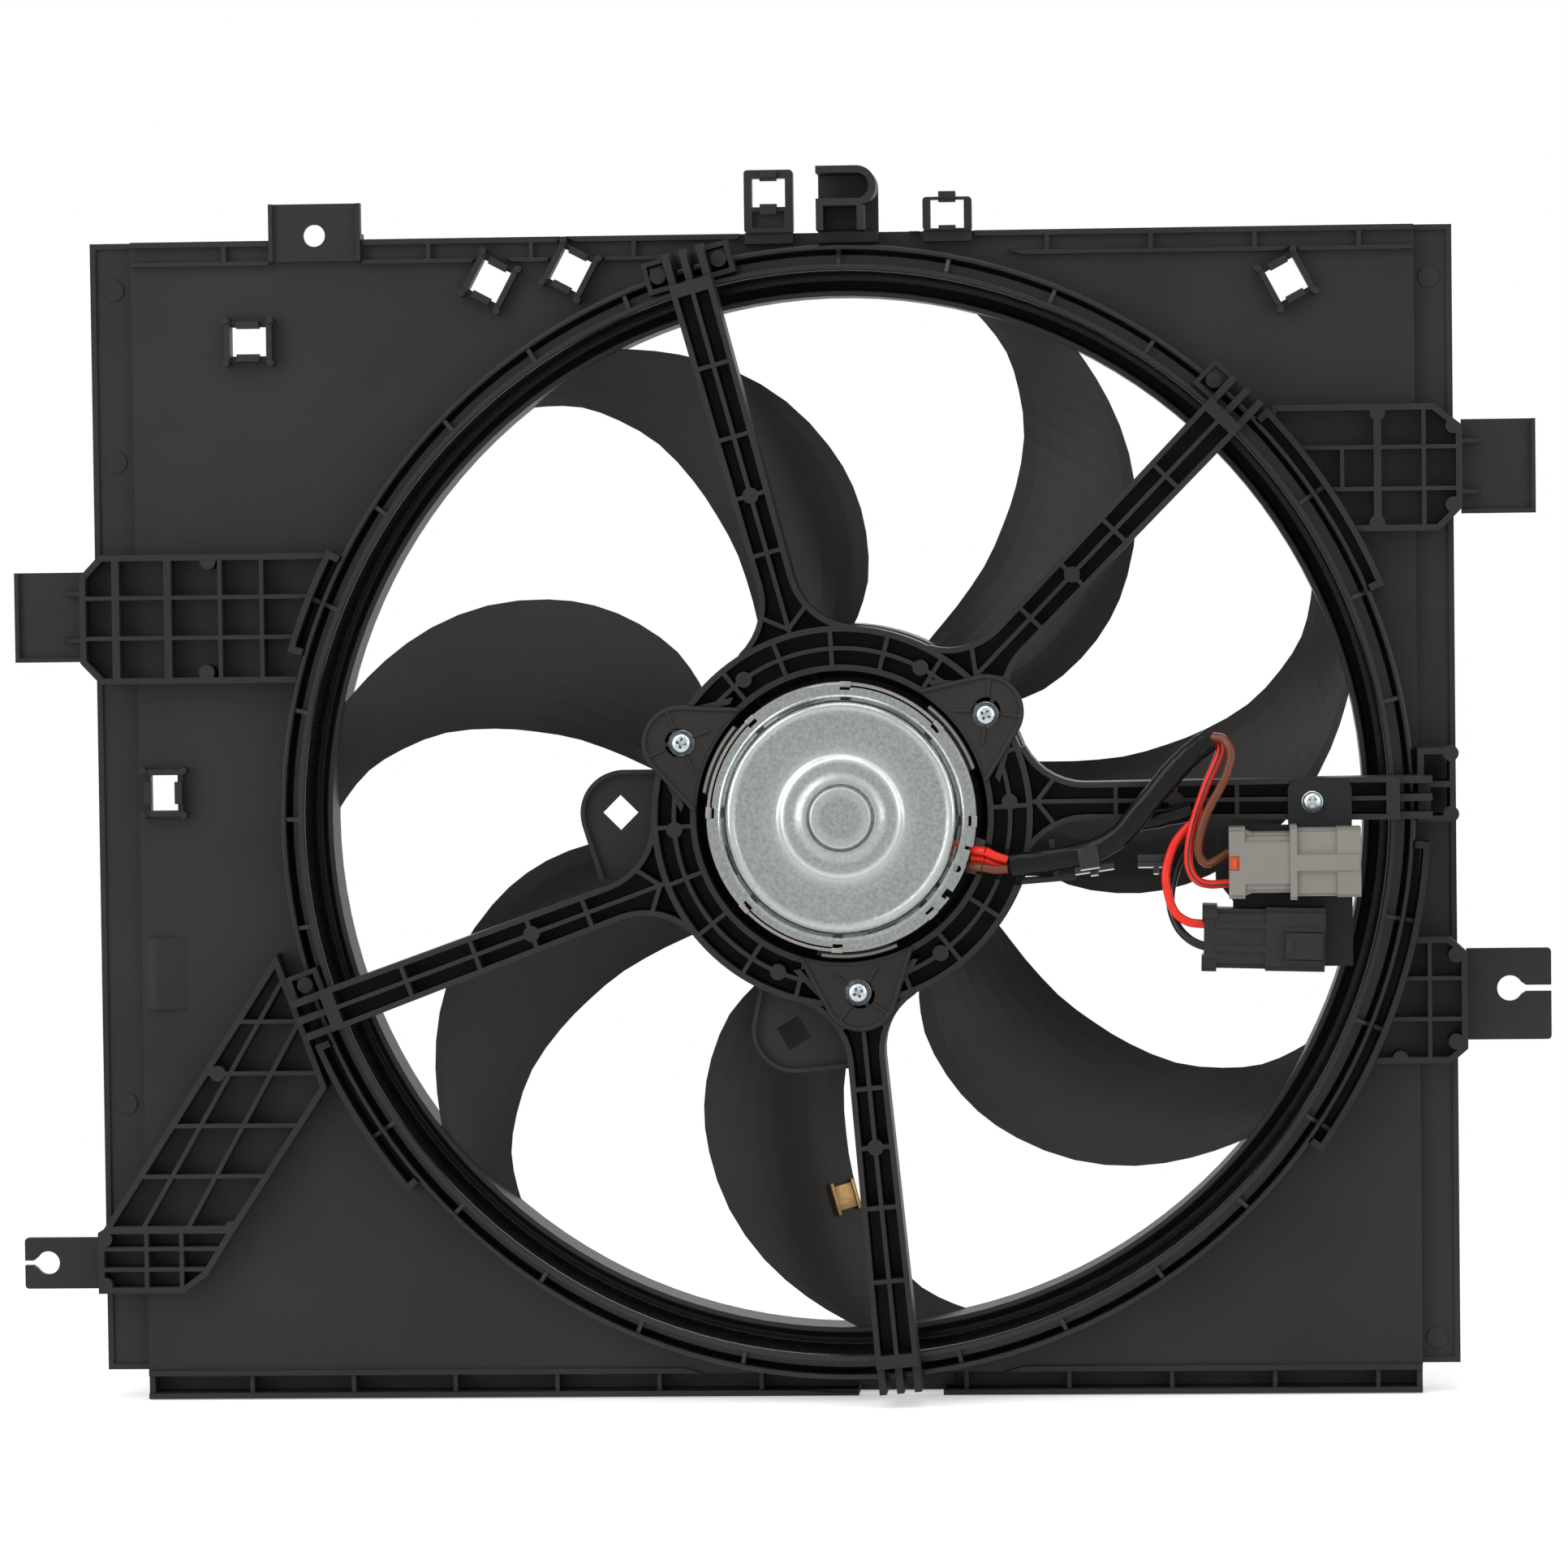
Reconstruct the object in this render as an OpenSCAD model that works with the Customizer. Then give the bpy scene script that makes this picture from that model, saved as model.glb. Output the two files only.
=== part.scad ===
// Radiator cooling fan: a moulded shroud with one ducted seven-blade fan and its electric motor.
// Units are millimetres. X runs along the width, Z is up, and the fan axis lies along Y.
// The engine side looks toward -Y. The origin is on the fan axis in the front face of the shroud sheet.

/* [Shroud sheet] */
// Distance from the fan axis to the left end of the shroud
sheet_left = 315.5; // [308:0.5:325]
// Distance from the fan axis to the right end of the shroud
sheet_right = 253.5; // [250:0.5:262]
// Height of the shroud's top edge above the fan axis
sheet_top = 241.5; // [240:0.5:248]
// Depth of the main sheet's lower edge below the fan axis
sheet_bottom = 232.5; // [231:0.5:236]
// Thickness of the moulded sheet
sheet_t = 2.5; // [2:0.1:3]
// Depth of the outer skirt that closes onto the radiator
skirt_deep = 26; // [20:1:34]
// Thickness of the skirt and of the step walls
skirt_t = 2.4; // [1.8:0.1:3]
// Width of the stepped strip along the left end
strip_left = 18; // [14:0.5:20]
// Width of the stepped strip along the right end
strip_right = 16; // [12:0.5:16]
// How far the end strips step back toward the radiator
strip_drop = 5; // [3:0.5:8]
// Height of the lower channel
channel_h = 12; // [9:0.5:16]
// Height of the upper channel
top_channel_h = 8.5; // [6:0.5:10]
// Spacing of the ribs in both channels
channel_pitch = 43; // [36:1:50]
// Depth of the lower channel behind the sheet's face
channel_deep = 14; // [8:1:18]

/* [Fan duct] */
// Inner radius of the duct round the fan
duct_r = 224.6; // [224:0.1:226]
// Wall thickness of the duct
duct_t = 2.7; // [2:0.1:3]
// How far the duct's front edge stands ahead of the sheet
duct_front = 24; // [18:1:26]
// Outer radius of the trough that surrounds the duct
trough_r = 236; // [234:0.5:237]
// Wall thickness of the trough
trough_t = 2.6; // [2:0.1:3]
// How far the trough's outer wall stands ahead of the sheet
trough_front = 15; // [10:1:17]
// How far the trough's floor lies ahead of the sheet
trough_floor = 4; // [2:1:8]
// Radius of the wider wall sections beside the arms and brackets
brace_r = 242.2; // [240:0.2:245]
// Number of equal rib places round the trough
trough_ribs = 32; // [24:1:40]
// Thickness of the thin stiffening ribs
rib_t = 1.8; // [1.2:0.1:2.4]
// Inner radius of the lip at the duct's radiator end
lip_r = 219.5; // [219:0.1:221]

/* [Motor carrier] */
// Distance of the carrier's front face ahead of the sheet
carrier_front = 44; // [38:1:50]
// Inner radius of the carrier ring
hub_in = 60; // [58:0.5:61]
// Outer radius of the carrier ring
hub_out = 78.5; // [77:0.5:81]
// Radius of the arc rib in the middle of the ring
hub_mid = 69.2; // [68:0.1:70]
// Wall thickness of the carrier ring
hub_t = 2.5; // [2:0.1:3]
// Floor thickness of the carrier and of its arms
floor_t = 2; // [1.5:0.1:3]
// Half width of an arm at the duct
arm_half_out = 8.8; // [8:0.1:10]
// Half width of an arm before it flares into the ring
arm_half_in = 7.7; // [7:0.1:9]
// Radius of the flare at the arm's root
flare_r = 28; // [26.5:0.5:36]
// Side wall thickness of an arm
arm_wall = 2.3; // [1.8:0.1:3]
// Directions of the four radial arms, counterclockwise from +X seen from the engine side
arm_angles = [105.2, 45.8, 275.1, 200.1];
// Height of the level arm above the fan axis
level_arm_z = 5.4; // [3:0.1:7]
// Radius of the three screw places
screw_r = 72.5; // [71:0.1:74]
// Direction of the first screw place
screw_angle = 34.7; // [33:0.1:36]
// Outer radius of a screw lug
lug_r = 13.2; // [12:0.1:14]

/* [Fan wheel] */
// Number of blades
blades = 7; // [5:1:9]
// Outer radius of the fan's ring
ring_r = 217.2; // [216:0.1:218]
// Wall thickness of the fan's ring
ring_t = 2.4; // [2:0.1:3]
// How far the fan's ring stands ahead of the sheet
ring_front = 10; // [7:1:12]
// Outer radius of the flange at the ring's rear end
flange_r = 222.2; // [221:0.1:223]
// Outer radius of the fan's hub
fan_hub_r = 79; // [78:0.5:80]
// Wall thickness of the fan's hub
fan_hub_t = 2.6; // [2:0.1:3.4]
// How far the fan's hub stands ahead of the sheet
fan_hub_front = 14; // [12:1:16]
// Distance of the hub's closed end behind the sheet's face
fan_hub_back = 23; // [21:1:24]
// Greatest blade thickness at the hub
blade_root_t = 3.2; // [2.4:0.1:4]
// Greatest blade thickness at the ring
blade_tip_t = 2.2; // [1.6:0.1:3]
// Height of the blade's camber
camber = 3.2; // [0:0.1:5]
// Number of stiffening webs inside the hub
hub_webs = 14; // [7:1:21]

/* [Motor] */
// Radius of the motor can
can_r = 52; // [50:0.5:53]
// Wall thickness of the motor can
can_t = 1.8; // [1.5:0.1:2.2]
// Distance of the can's front rim ahead of the sheet
can_front = 48; // [46:1:50]
// Distance of the can's closed end behind the sheet's face
can_back = 6; // [4:1:7]
// Radius of the can's front rim
rim_r = 54.6; // [54:0.1:56]
// Radius of the raised face of the end cap
cap_r = 45.5; // [43:0.5:47]
// How far the raised face stands ahead of the rim
cap_rise = 5; // [4:0.5:7]
// Radius of the dome in the middle of the cap
dome_r = 24.5; // [22:0.5:27]
// Radius of the bearing boss at the cap's centre
boss_r = 12.6; // [11:0.1:14]
// Radius of the motor shaft
shaft_r = 4; // [3.8:0.1:4.4]
// Radius of the armature
armature_r = 38; // [34:0.5:39]
// Length of the laminated armature stack
armature_len = 24; // [20:1:28]
// Thickness of a magnet
magnet_t = 8; // [6:0.5:9]

/* [Brackets and tabs] */
// How far the lattice brackets stand ahead of the sheet
lattice_front = 13; // [10:1:15]
// Side wall thickness of a lattice bracket
lattice_wall = 2.6; // [2:0.1:3]
// Thickness of the fixing tabs
tab_t = 3; // [2.5:0.1:4]
// Radius of the hole in the upper fixing tab
top_hole_r = 4.6; // [3.5:0.1:5.4]
// Radius of the round end of the right keyhole
right_key_r = 5.3; // [4.8:0.1:6]
// Half width of the right keyhole's slot
right_slot = 1.3; // [0.9:0.1:2.8]
// Radius of the round end of the left keyhole
left_key_r = 4.9; // [4.2:0.1:5.2]
// Half width of the left keyhole's slot
left_slot = 1; // [0.8:0.1:2.4]
// Diameter of the flat discs that the ejector pins leave
pin_disc_d = 6.6; // [5:0.1:8]

/* [Wiring and plugs] */
// Outer radius of the black sleeve over the motor leads
sleeve_r = 3.5; // [3:0.1:3.8]
// Outer radius of one wire
wire_r = 1.8; // [1.2:0.1:2]
// Length of the grey plug
grey_len = 53.5; // [50:0.5:56]
// Height of the grey plug
grey_h = 29; // [26:0.5:30]
// Depth of the grey plug
grey_deep = 20; // [17:0.5:22]
// Length of the black plug
black_len = 50; // [46:0.5:52]
// Height of the black plug
black_h = 27; // [24:0.5:27]
// Depth of the black plug
black_deep = 19; // [16:0.5:21]
// Tilt of the black plug
black_tilt = 1.6; // [0:0.1:3]

/* [Hidden] */
$fn = 72;

// Colours
black_pp = [0.17, 0.165, 0.16];
zinc = [0.66, 0.68, 0.67];
steel = [0.55, 0.57, 0.58];

// Small overlap that fuses neighbouring solids of one node
weld = 0.2;
// How far the arms' lattice runs past the duct's inner face, and their prongs past the trough
arm_seat = 1.4;
prong_out = 6;
arm_reach = duct_r + arm_seat;
arm_end = trough_r + prong_out;
// Middle of the tab on the top edge
top_tab_x = -219.9;
// Place of the screw that holds the plug bracket
plate_screw_x = 192.7;
plate_screw_z = 4.3;
// Left and right ends of the flat main sheet
main_left = -(sheet_left - strip_left);
main_right = sheet_right - strip_right;
// Lowest edge of the lower channel
low_edge = -(sheet_bottom + channel_h);
// Back faces of the duct and of the carrier
carrier_back = duct_front;
duct_back = skirt_deep - sheet_t;
// Width of the notch in the lower channel where the bottom arm passes
notch_x0 = 2;
notch_x1 = 37.5;

// Angular ranges of the four wider wall sections
braces = [[22.4, 43.3], [203, 220.2], [324, 356.7], [152.4, 163.2]];

// Outline corners of the four lattice brackets, in X and Z
lu_outline = [
  [-sheet_left + 4.5, 111], [36 - trough_r, 111], [36 - trough_r, 57], [-sheet_left + 4.5, 57],
  [-sheet_left - 4, 66], [-sheet_left - 4, 102]
];
ru_outline = [
  [trough_r - 57.5, 167], [sheet_right - 8.5, 167], [sheet_right + 3, 158], [sheet_right + 3, 124],
  [sheet_right - 6.5, 114.5], [trough_r - 76, 114.5]
];
rl_outline = [
  [trough_r - 46, -53.5], [sheet_right - 3.5, -53.5], [sheet_right + 3.5, -60], [sheet_right + 3.5, -100],
  [sheet_right - 3.5, -106], [trough_r - 46, -106]
];
ll_outline = [
  [-sheet_left + 76.5, -56.6], [-sheet_left + 96.9, -112.5], [-sheet_left + 57.1, -172.5],
  [-sheet_left + 45.5, -191], [-sheet_left + 35.5, -198.5], [-sheet_left - 0.7, -198.5],
  [-sheet_left - 0.7, -172.8], [-sheet_left + 1.7, -171.4]
];

// Centres, turns, opening sizes of the five harness windows in the sheet
windows = [
  [main_left + 49.6, sheet_top - 42, 0, 15.2, 12.2],
  [-146.2, sheet_top - 18.3, -28, 13, 14],
  [-112.5, sheet_top - 14.3, -28, 13, 14],
  [main_right - 52.5, sheet_top - 22.3, 28, 13, 14],
  [main_left + 10.9, 11.2, 90, 15, 11.4]
];

// Length of a window's side frame beyond the opening, and its height above the sheet
frame_over = 3;
frame_side = 2.4;
frame_rise = 6;

// Radii at which the blades start inside the hub's wall and end inside the ring's
blade_in = fan_hub_r - 2;
blade_out = ring_r - 1.2;
// Blade outline: share of the way out, direction of the front edge, direction of the rear edge
blade_plan = [
  [0, 138.8, 168.2], [0.036, 136.9, 167.3], [0.144, 134.9, 165.1], [0.288, 136.2, 163.9], [0.4245, 139.1, 164.5],
  [0.547, 143, 165.6], [0.691, 148.6, 167.7], [0.813, 154.6, 170.8], [0.9065, 160.3, 173.8],
  [0.971, 164.8, 177.1], [1, 166.9, 178.9]
];
// Small turn of each blade from an even pitch, which keeps the fan quiet
blade_shift = [0.75, -0.55, 1.4, -0.2, 1, -0.6, 0.45];
blade_rows = [for (p = blade_plan) [blade_in + p[0] * (blade_out - blade_in), p[1], p[2]]];

// Clearance and depth of the leads' entries in the plugs
entry_gap = 0.5;
entry_deep = 3;
// Grey plug position: left end, top edge and front face
grey_x = 158.4;
grey_top = -5.2;
plug_back = 46;
black_x = 147.5;
black_top = -36.6;

// Routes of the leads, as points in X, Y, Z
sleeve_route = [
  [69.6, -49.3, -20.6], [84, -50.5, -18.6], [101, -52, -15.4], [114, -54, -8.5], [124, -55, 3], [135, -55, 16],
  [144, -54, 25], [151, -53, 30]
];
sleeve2_route = [[121, -47.8, -3.4], [133, -48, -1.2], [143.5, -48.5, 0.8]];
brown_route = [
  [152.4, -54.6, 31.6], [156.8, -57, 30.4], [159.7, -60, 24.3], [156.6, -62, 13.8], [149.6, -62, 1],
  [146.4, -61, -9.5], [146.2, -59.6, -16.2], [149.4, -58, -19.9], [153.8, -56.3, -18.4], [157.8, -55, -16],
  [grey_x + 2.4, -54.8, -15.7]
];
red_upper_route = [
  [153.6, -50.4, 31.4], [155, -53, 25], [149.5, -57, 12], [144.6, -58, -1.9], [142.2, -57.5, -13],
  [142.3, -57, -21.5], [145.5, -56.4, -26.9], [150.6, -55.6, -28.6], [157, -55, -28.3],
  [grey_x + 2.4, -55, -28.2]
];
red_lower_route = [
  [145, -50.9, 1.8], [147, -52.8, -1], [141.5, -54, -5.5], [136, -54, -12.5], [132.9, -54, -22.5],
  [133.1, -54.6, -30.4], [136, -55.6, -39.4], [141.2, -56.6, -43.6], [147, -57, -44.6],
  [black_x + 2.4, -57, -44.7]
];
black_route = [
  [145, -46.8, 0.8], [147.4, -48.2, -3], [143.5, -49.3, -10], [138, -49.6, -20], [134.9, -50, -30],
  [134.7, -51, -38.4], [137.4, -53, -46], [141.8, -55, -50.8], [146.6, -56.6, -53.3],
  [black_x + 2.1, -56.8, -53.6]
];

// Turns a drawing in X and Z into a solid between two distances along Y
module slab(front, back) {
  translate([0, back, 0])
    rotate([90, 0, 0])
      linear_extrude(height = back - front)
        children();
}

// A round bar on a line parallel to the fan axis
module axle(r, front, back) {
  slab(front, back)
    circle(r);
}

// A body of revolution about the fan axis from a profile of radius and Y
module turned(profile) {
  rotate([90, 0, 0])
    rotate_extrude()
      polygon([for (p = profile) [p[0], -p[1]]]);
}

// The same over an angular range
module turned_arc(profile, from, to) {
  rotate([90, 0, 0])
    rotate([0, 0, from])
      rotate_extrude(angle = to - from)
        polygon([for (p = profile) [p[0], -p[1]]]);
}

// A rectangular profile of a ring
function band(r0, r1, front, back) = [[r0, front], [r1, front], [r1, back], [r0, back]];

// A rectangle between two corners
module patch(x0, z0, x1, z1) {
  translate([x0, z0])
    square([x1 - x0, z1 - z0]);
}

// A straight rib of thickness t between two points
module rib(p, q, t) {
  d = q - p;
  translate(p)
    rotate(atan2(d[1], d[0]))
      translate([0, -t / 2])
        square([norm(d), t]);
}

// A flat ring
module annulus(r0, r1) {
  difference() {
    circle(r1);
    circle(r0);
  }
}

// A sector of a disc, up to 90 degrees wide
module pie(r, from, to) {
  far = r * 1.3;
  intersection() {
    circle(r);
    polygon([
      [0, 0], far * [cos(from), sin(from)], far * [cos((from + to) / 2), sin((from + to) / 2)] * 1.2,
      far * [cos(to), sin(to)]
    ]);
  }
}

function polar(r, a) = [r * cos(a), r * sin(a)];

// The area that the duct, its trough and the wider wall sections take up
module duct_area() {
  circle(trough_r);
  for (b = braces)
    pie(brace_r + 0.1, b[0], b[1]);
}

// The outline wall of a polygon, of thickness t on its inside
module outline_wall(points, t) {
  n = len(points);
  intersection() {
    polygon(points);
    union() {
      for (i = [0 : n - 1]) {
        rib(points[i], points[(i + 1) % n], 2 * t);
        translate(points[i])
          circle(t);
      }
    }
  }
}

// The opening and the frame area of one harness window
module window_place(w) {
  translate([w[0], w[1]])
    rotate(w[2])
      children();
}

module window_area(w) {
  window_place(w)
    square([w[3] + 2 * frame_side + 3, w[4] + 2 * frame_over + 3], center = true);
}

module shroud_sheet() {
  color(black_pp) {
    difference() {
      union() {
        // Flat main sheet with its rounded-off edge strip
        slab(0, sheet_t)
          patch(main_left - weld, -sheet_bottom - weld, main_right + weld, sheet_top - weld);
        // Stepped end strips
        slab(strip_drop, strip_drop + sheet_t) {
          patch(-sheet_left, -sheet_bottom, main_left + skirt_t, sheet_top);
          patch(main_right - skirt_t, -sheet_bottom, sheet_right, sheet_top);
        }
        // Step walls between the strips and the main sheet
        slab(0, strip_drop + sheet_t) {
          patch(main_left, -sheet_bottom, main_left + skirt_t, sheet_top - weld);
          patch(main_right - skirt_t, -sheet_bottom, main_right, sheet_top - weld);
        }
        // Skirt round the ends, with a small bead along the front edge
        slab(strip_drop - 1.2, skirt_deep) {
          patch(-sheet_left, -sheet_bottom, -sheet_left + skirt_t, sheet_top);
          patch(sheet_right - skirt_t, -sheet_bottom, sheet_right, sheet_top);
        }
        // Skirt along the top and the lower edge of the strips
        slab(-1.5, skirt_deep)
          patch(main_left, sheet_top - skirt_t, main_right, sheet_top);
        slab(strip_drop - 1.2, skirt_deep) {
          patch(-sheet_left, sheet_top - skirt_t, main_left + weld, sheet_top);
          patch(main_right - weld, sheet_top - skirt_t, sheet_right, sheet_top);
          patch(-sheet_left, -sheet_bottom, main_left + weld, -sheet_bottom + skirt_t);
          patch(main_right - weld, -sheet_bottom, sheet_right, -sheet_bottom + skirt_t);
        }
        // Lower channel: two walls, a deep floor and ribs
        slab(-1.5, channel_deep)
          patch(main_left, -sheet_bottom - skirt_t, main_right, -sheet_bottom);
        slab(-1.5, skirt_deep)
          patch(main_left, low_edge, main_right, low_edge + skirt_t);
        slab(channel_deep - sheet_t, channel_deep)
          patch(main_left, low_edge, main_right, -sheet_bottom - weld);
        slab(0, channel_deep) {
          patch(main_left, low_edge, main_left + skirt_t, -sheet_bottom);
          patch(main_right - skirt_t, low_edge, main_right, -sheet_bottom);
          for (k = [-5 : 6])
            if (k < 1 || k > 1)
              patch(
                k * channel_pitch - 41 + 1.2, low_edge + 1,
                k * channel_pitch - 41 + rib_t + 1.2, -sheet_bottom - 1
              );
        }
        // Upper channel: a low inner wall with ribs across
        slab(-3, 0.5) {
          patch(main_left, sheet_top - top_channel_h - rib_t, main_right, sheet_top - top_channel_h);
          for (k = [-6 : 5])
            patch(
              k * channel_pitch - rib_t / 2, sheet_top - top_channel_h - 1,
              k * channel_pitch + rib_t / 2, sheet_top - 1
            );
        }
        slab(-3, 0)
          patch(main_left, sheet_top - skirt_t, main_right, sheet_top);
        // Flat discs left by the ejector pins
        slab(strip_drop - 0.5, strip_drop + 1)
          for (p = [
            [sheet_right - 9.5, 10.5 - sheet_bottom], [sheet_right - 9.5, sheet_top - 21.5],
            [9.5 - sheet_left, 150], [9.5 - sheet_left, -120], [9.5 - sheet_left, sheet_top - 19.5]
          ])
            translate(p)
              circle(4.6);
        // Low wedge on the main sheet beside the left step
        translate([main_left + 1, 0, -80])
          linear_extrude(height = 30)
            polygon([[0, 0.5], [20, 0.5], [5, -3.4]]);
      }
      // Opening for the duct
      slab(-duct_front, skirt_deep + 1)
        circle(trough_r);
      slab(-duct_front, 0)
        circle(brace_r + 1);
      // Harness windows
      for (w = windows) {
        slab(-1, skirt_deep + 1)
          window_place(w)
            square([w[3], w[4]], center = true);
        slab(-duct_front, 0)
          window_area(w);
      }
      // Clear way behind the upper fixing tab
      slab(-duct_front, 0)
        patch(top_tab_x - 19.1, sheet_top - 12, top_tab_x + 19.9, sheet_top + 1);
      slab(-1, skirt_deep + 1)
        patch(top_tab_x - top_hole_r - 5.1, sheet_top - 8.4, top_tab_x + top_hole_r + 4.9, sheet_top + 1);
      // Notch where the bottom arm passes
      slab(-2, channel_deep + sheet_t)
        patch(notch_x0, low_edge - 1, notch_x1, low_edge + skirt_t + 4);
      // Room for the loops and the hook on the upper edge
      slab(-duct_front, 0) {
        patch(-42, sheet_top - 12, 17, sheet_top + 1);
        patch(33, sheet_top - 12, 56, sheet_top + 1);
      }
      // Room for the level arm's end block
      slab(-duct_front, 0)
        patch(trough_r - 2, -6, trough_r + 26, 26);
    }
  }
}

// True where a trough rib would stand under an arm
function under_arm(a) =
  len([for (b = concat(arm_angles, [0])) if (abs((a - b + 540) % 360 - 180) < 5.5) 1]) > 0;

module shroud_duct() {
  duct_out = duct_r + duct_t;
  color([0.1, 0.1, 0.1]) {
    // Duct wall with a rounded front edge, trough, and a lip at the radiator end
    turned([
      [duct_r + 0.9, -duct_front], [duct_out, -duct_front], [duct_out, -trough_floor - trough_t],
      [trough_r - trough_t - 1.5, -trough_floor - trough_t],
      [trough_r - trough_t, -trough_floor - trough_t - 1.5],
      [trough_r - trough_t, -trough_front + 0.6], [trough_r - trough_t + 0.6, -trough_front],
      [trough_r - 0.6, -trough_front], [trough_r, -trough_front + 0.6], [trough_r, sheet_t],
      [trough_r - trough_t, sheet_t], [trough_r - trough_t, -trough_floor + 1.2],
      [duct_out, -trough_floor], [duct_out, skirt_deep - 1], [duct_out - 1, skirt_deep],
      [lip_r, skirt_deep], [lip_r, duct_back], [duct_r, duct_back], [duct_r, -duct_front + 1.6],
      [duct_r + 0.3, -duct_front + 0.6]
    ]);
    // Radial ribs across the trough
    intersection() {
      slab(-duct_front + 5, -trough_floor - 1)
        for (k = [0 : trough_ribs - 1])
          if (!under_arm(k * 360 / trough_ribs))
            rotate(k * 360 / trough_ribs)
              patch(duct_r + 1.5, -rib_t / 2, trough_r - 1, rib_t / 2);
      turned([
        [duct_r + 1.5, -duct_front + 5], [duct_out + 1, -duct_front + 5],
        [trough_r - 1, -trough_front + 1.5], [trough_r - 1, -trough_floor - 1],
        [duct_r + 1.5, -trough_floor - 1]
      ]);
    }
  }
}

module duct_braces() {
  color(black_pp)
    for (b = braces) {
      turned_arc(band(brace_r - trough_t, brace_r, -trough_front - 2, 0), b[0], b[1]);
      for (a = [b[0], b[1] - 0.7])
        turned_arc(band(trough_r, brace_r - 0.5, -trough_front - 2, 0), a, a + 0.7);
      // Cross ribs on the same spacing as in the trough
      for (k = [0 : trough_ribs - 1]) {
        a = k * 360 / trough_ribs;
        if (a > b[0] + 2 && a < b[1] - 2)
          turned_arc(band(trough_r, brace_r - 0.5, -trough_front + 2, 0), a - 0.22, a + 0.22);
      }
    }
}

module top_bolt_tab() {
  tab_x0 = top_tab_x - 18.9;
  tab_x1 = top_tab_x + 19.6;
  color(black_pp)
    difference() {
      union() {
        slab(-tab_t, 0)
          patch(tab_x0, sheet_top - 9, tab_x1, sheet_top + 15);
        // Raised rim on both sides
        slab(-tab_t - 2, -tab_t + 0.1) {
          patch(tab_x0, sheet_top - 9, tab_x0 + rib_t, sheet_top + 15);
          patch(tab_x1 - rib_t, sheet_top - 9, tab_x1, sheet_top + 15);
        }
        // Thicker root along the skirt's top edge
        slab(-tab_t, 8)
          difference() {
            patch(tab_x0, sheet_top, tab_x1, sheet_top + 2.5);
            patch(top_tab_x - 11.1, sheet_top - 1, top_tab_x + 10.9, sheet_top + 3);
          }
      }
      slab(-tab_t - 3, 9)
        translate([top_tab_x, sheet_top + 1.8])
          circle(top_hole_r);
    }
}

// One window frame with two side walls and two snap tongues
module window_frame(w) {
  difference() {
    union() {
      slab(-frame_rise, 0)
        window_place(w)
          for (s = [-1, 1])
            translate([s * (w[3] + frame_side) / 2, 0])
              square([frame_side, w[4] + 2 * frame_over], center = true);
      slab(-frame_rise + 2.5, 0)
        window_place(w)
          for (s = [-1, 1])
            translate([0, s * (w[4] / 2 + 1.2)])
              square([w[3] + 1, 2.4], center = true);
      // Snap tongues that lean over the opening
      slab(-frame_rise - 1, -frame_rise + 3)
        window_place(w)
          for (s = [-1, 1])
            translate([0, s * (w[4] / 2 + 0.4)])
              square([w[3] * 0.62, 3.8], center = true);
      slab(-frame_rise - 1, 0)
        window_place(w)
          for (s = [-1, 1], u = [-1, 1])
            translate([u * (w[3] / 2 + frame_side - 0.6), s * (w[4] / 2 + frame_over - 0.2)])
              circle(1.5);
    }
    slab(-frame_rise - 2, 1)
      window_place(w)
        square([w[3], w[4] - 1.6], center = true);
  }
}

module harness_windows() {
  color(black_pp)
    for (w = windows)
      window_frame(w);
}

// A harness loop with a square window and two snap tongues, standing on the sheet's upper edge
module loop(cx, z0, z1, win_z) {
  w = 20.3;
  win_w = 14;
  win_h = 12;
  difference() {
    union() {
      slab(-6, 2) {
        translate([cx, (z0 + z1) / 2])
          square([w - 3, z1 - z0], center = true);
        translate([cx, (z0 + z1) / 2])
          square([w, z1 - z0 - 3], center = true);
        for (s = [-1, 1], u = [-1, 1])
          translate([cx + s * (w / 2 - 1.5), (z0 + z1) / 2 + u * ((z1 - z0) / 2 - 1.5)])
            circle(1.5);
      }
      slab(-8, 2) {
        patch(cx - 3.5, win_z + win_h / 2 - weld, cx + 3.5, win_z + win_h / 2 + 3.2);
        patch(cx - 3.5, max(z0, win_z - win_h / 2 - 3.2), cx + 3.5, win_z - win_h / 2 + weld);
      }
    }
    slab(-9, 3)
      translate([cx, win_z])
        square([win_w, win_h], center = true);
    // Lightening recess in the lower half
    if (win_z - win_h / 2 - z0 > 6)
      slab(-7, -3)
        translate([cx, (z0 + win_z - win_h / 2) / 2])
          square([w - 7, win_z - win_h / 2 - z0 - 4], center = true);
  }
  slab(-7.5, -3)
    for (s = [-1, 1])
      translate([cx, win_z + s * (win_h / 2 - 0.4)])
        square([7, 1.6], center = true);
}

module top_loops() {
  color(black_pp) {
    loop(-29.5, sheet_top, sheet_top + 26.1, sheet_top + 16.7);
    loop(44.7, sheet_top, sheet_top + 13.9, sheet_top + 6.9);
    // Feet on the front of the sheet
    slab(-4, 0) {
      patch(-39.6, sheet_top - 4.5, -19.4, sheet_top + weld);
      patch(34.6, sheet_top - 4.5, 54.8, sheet_top + weld);
    }
  }
}

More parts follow.
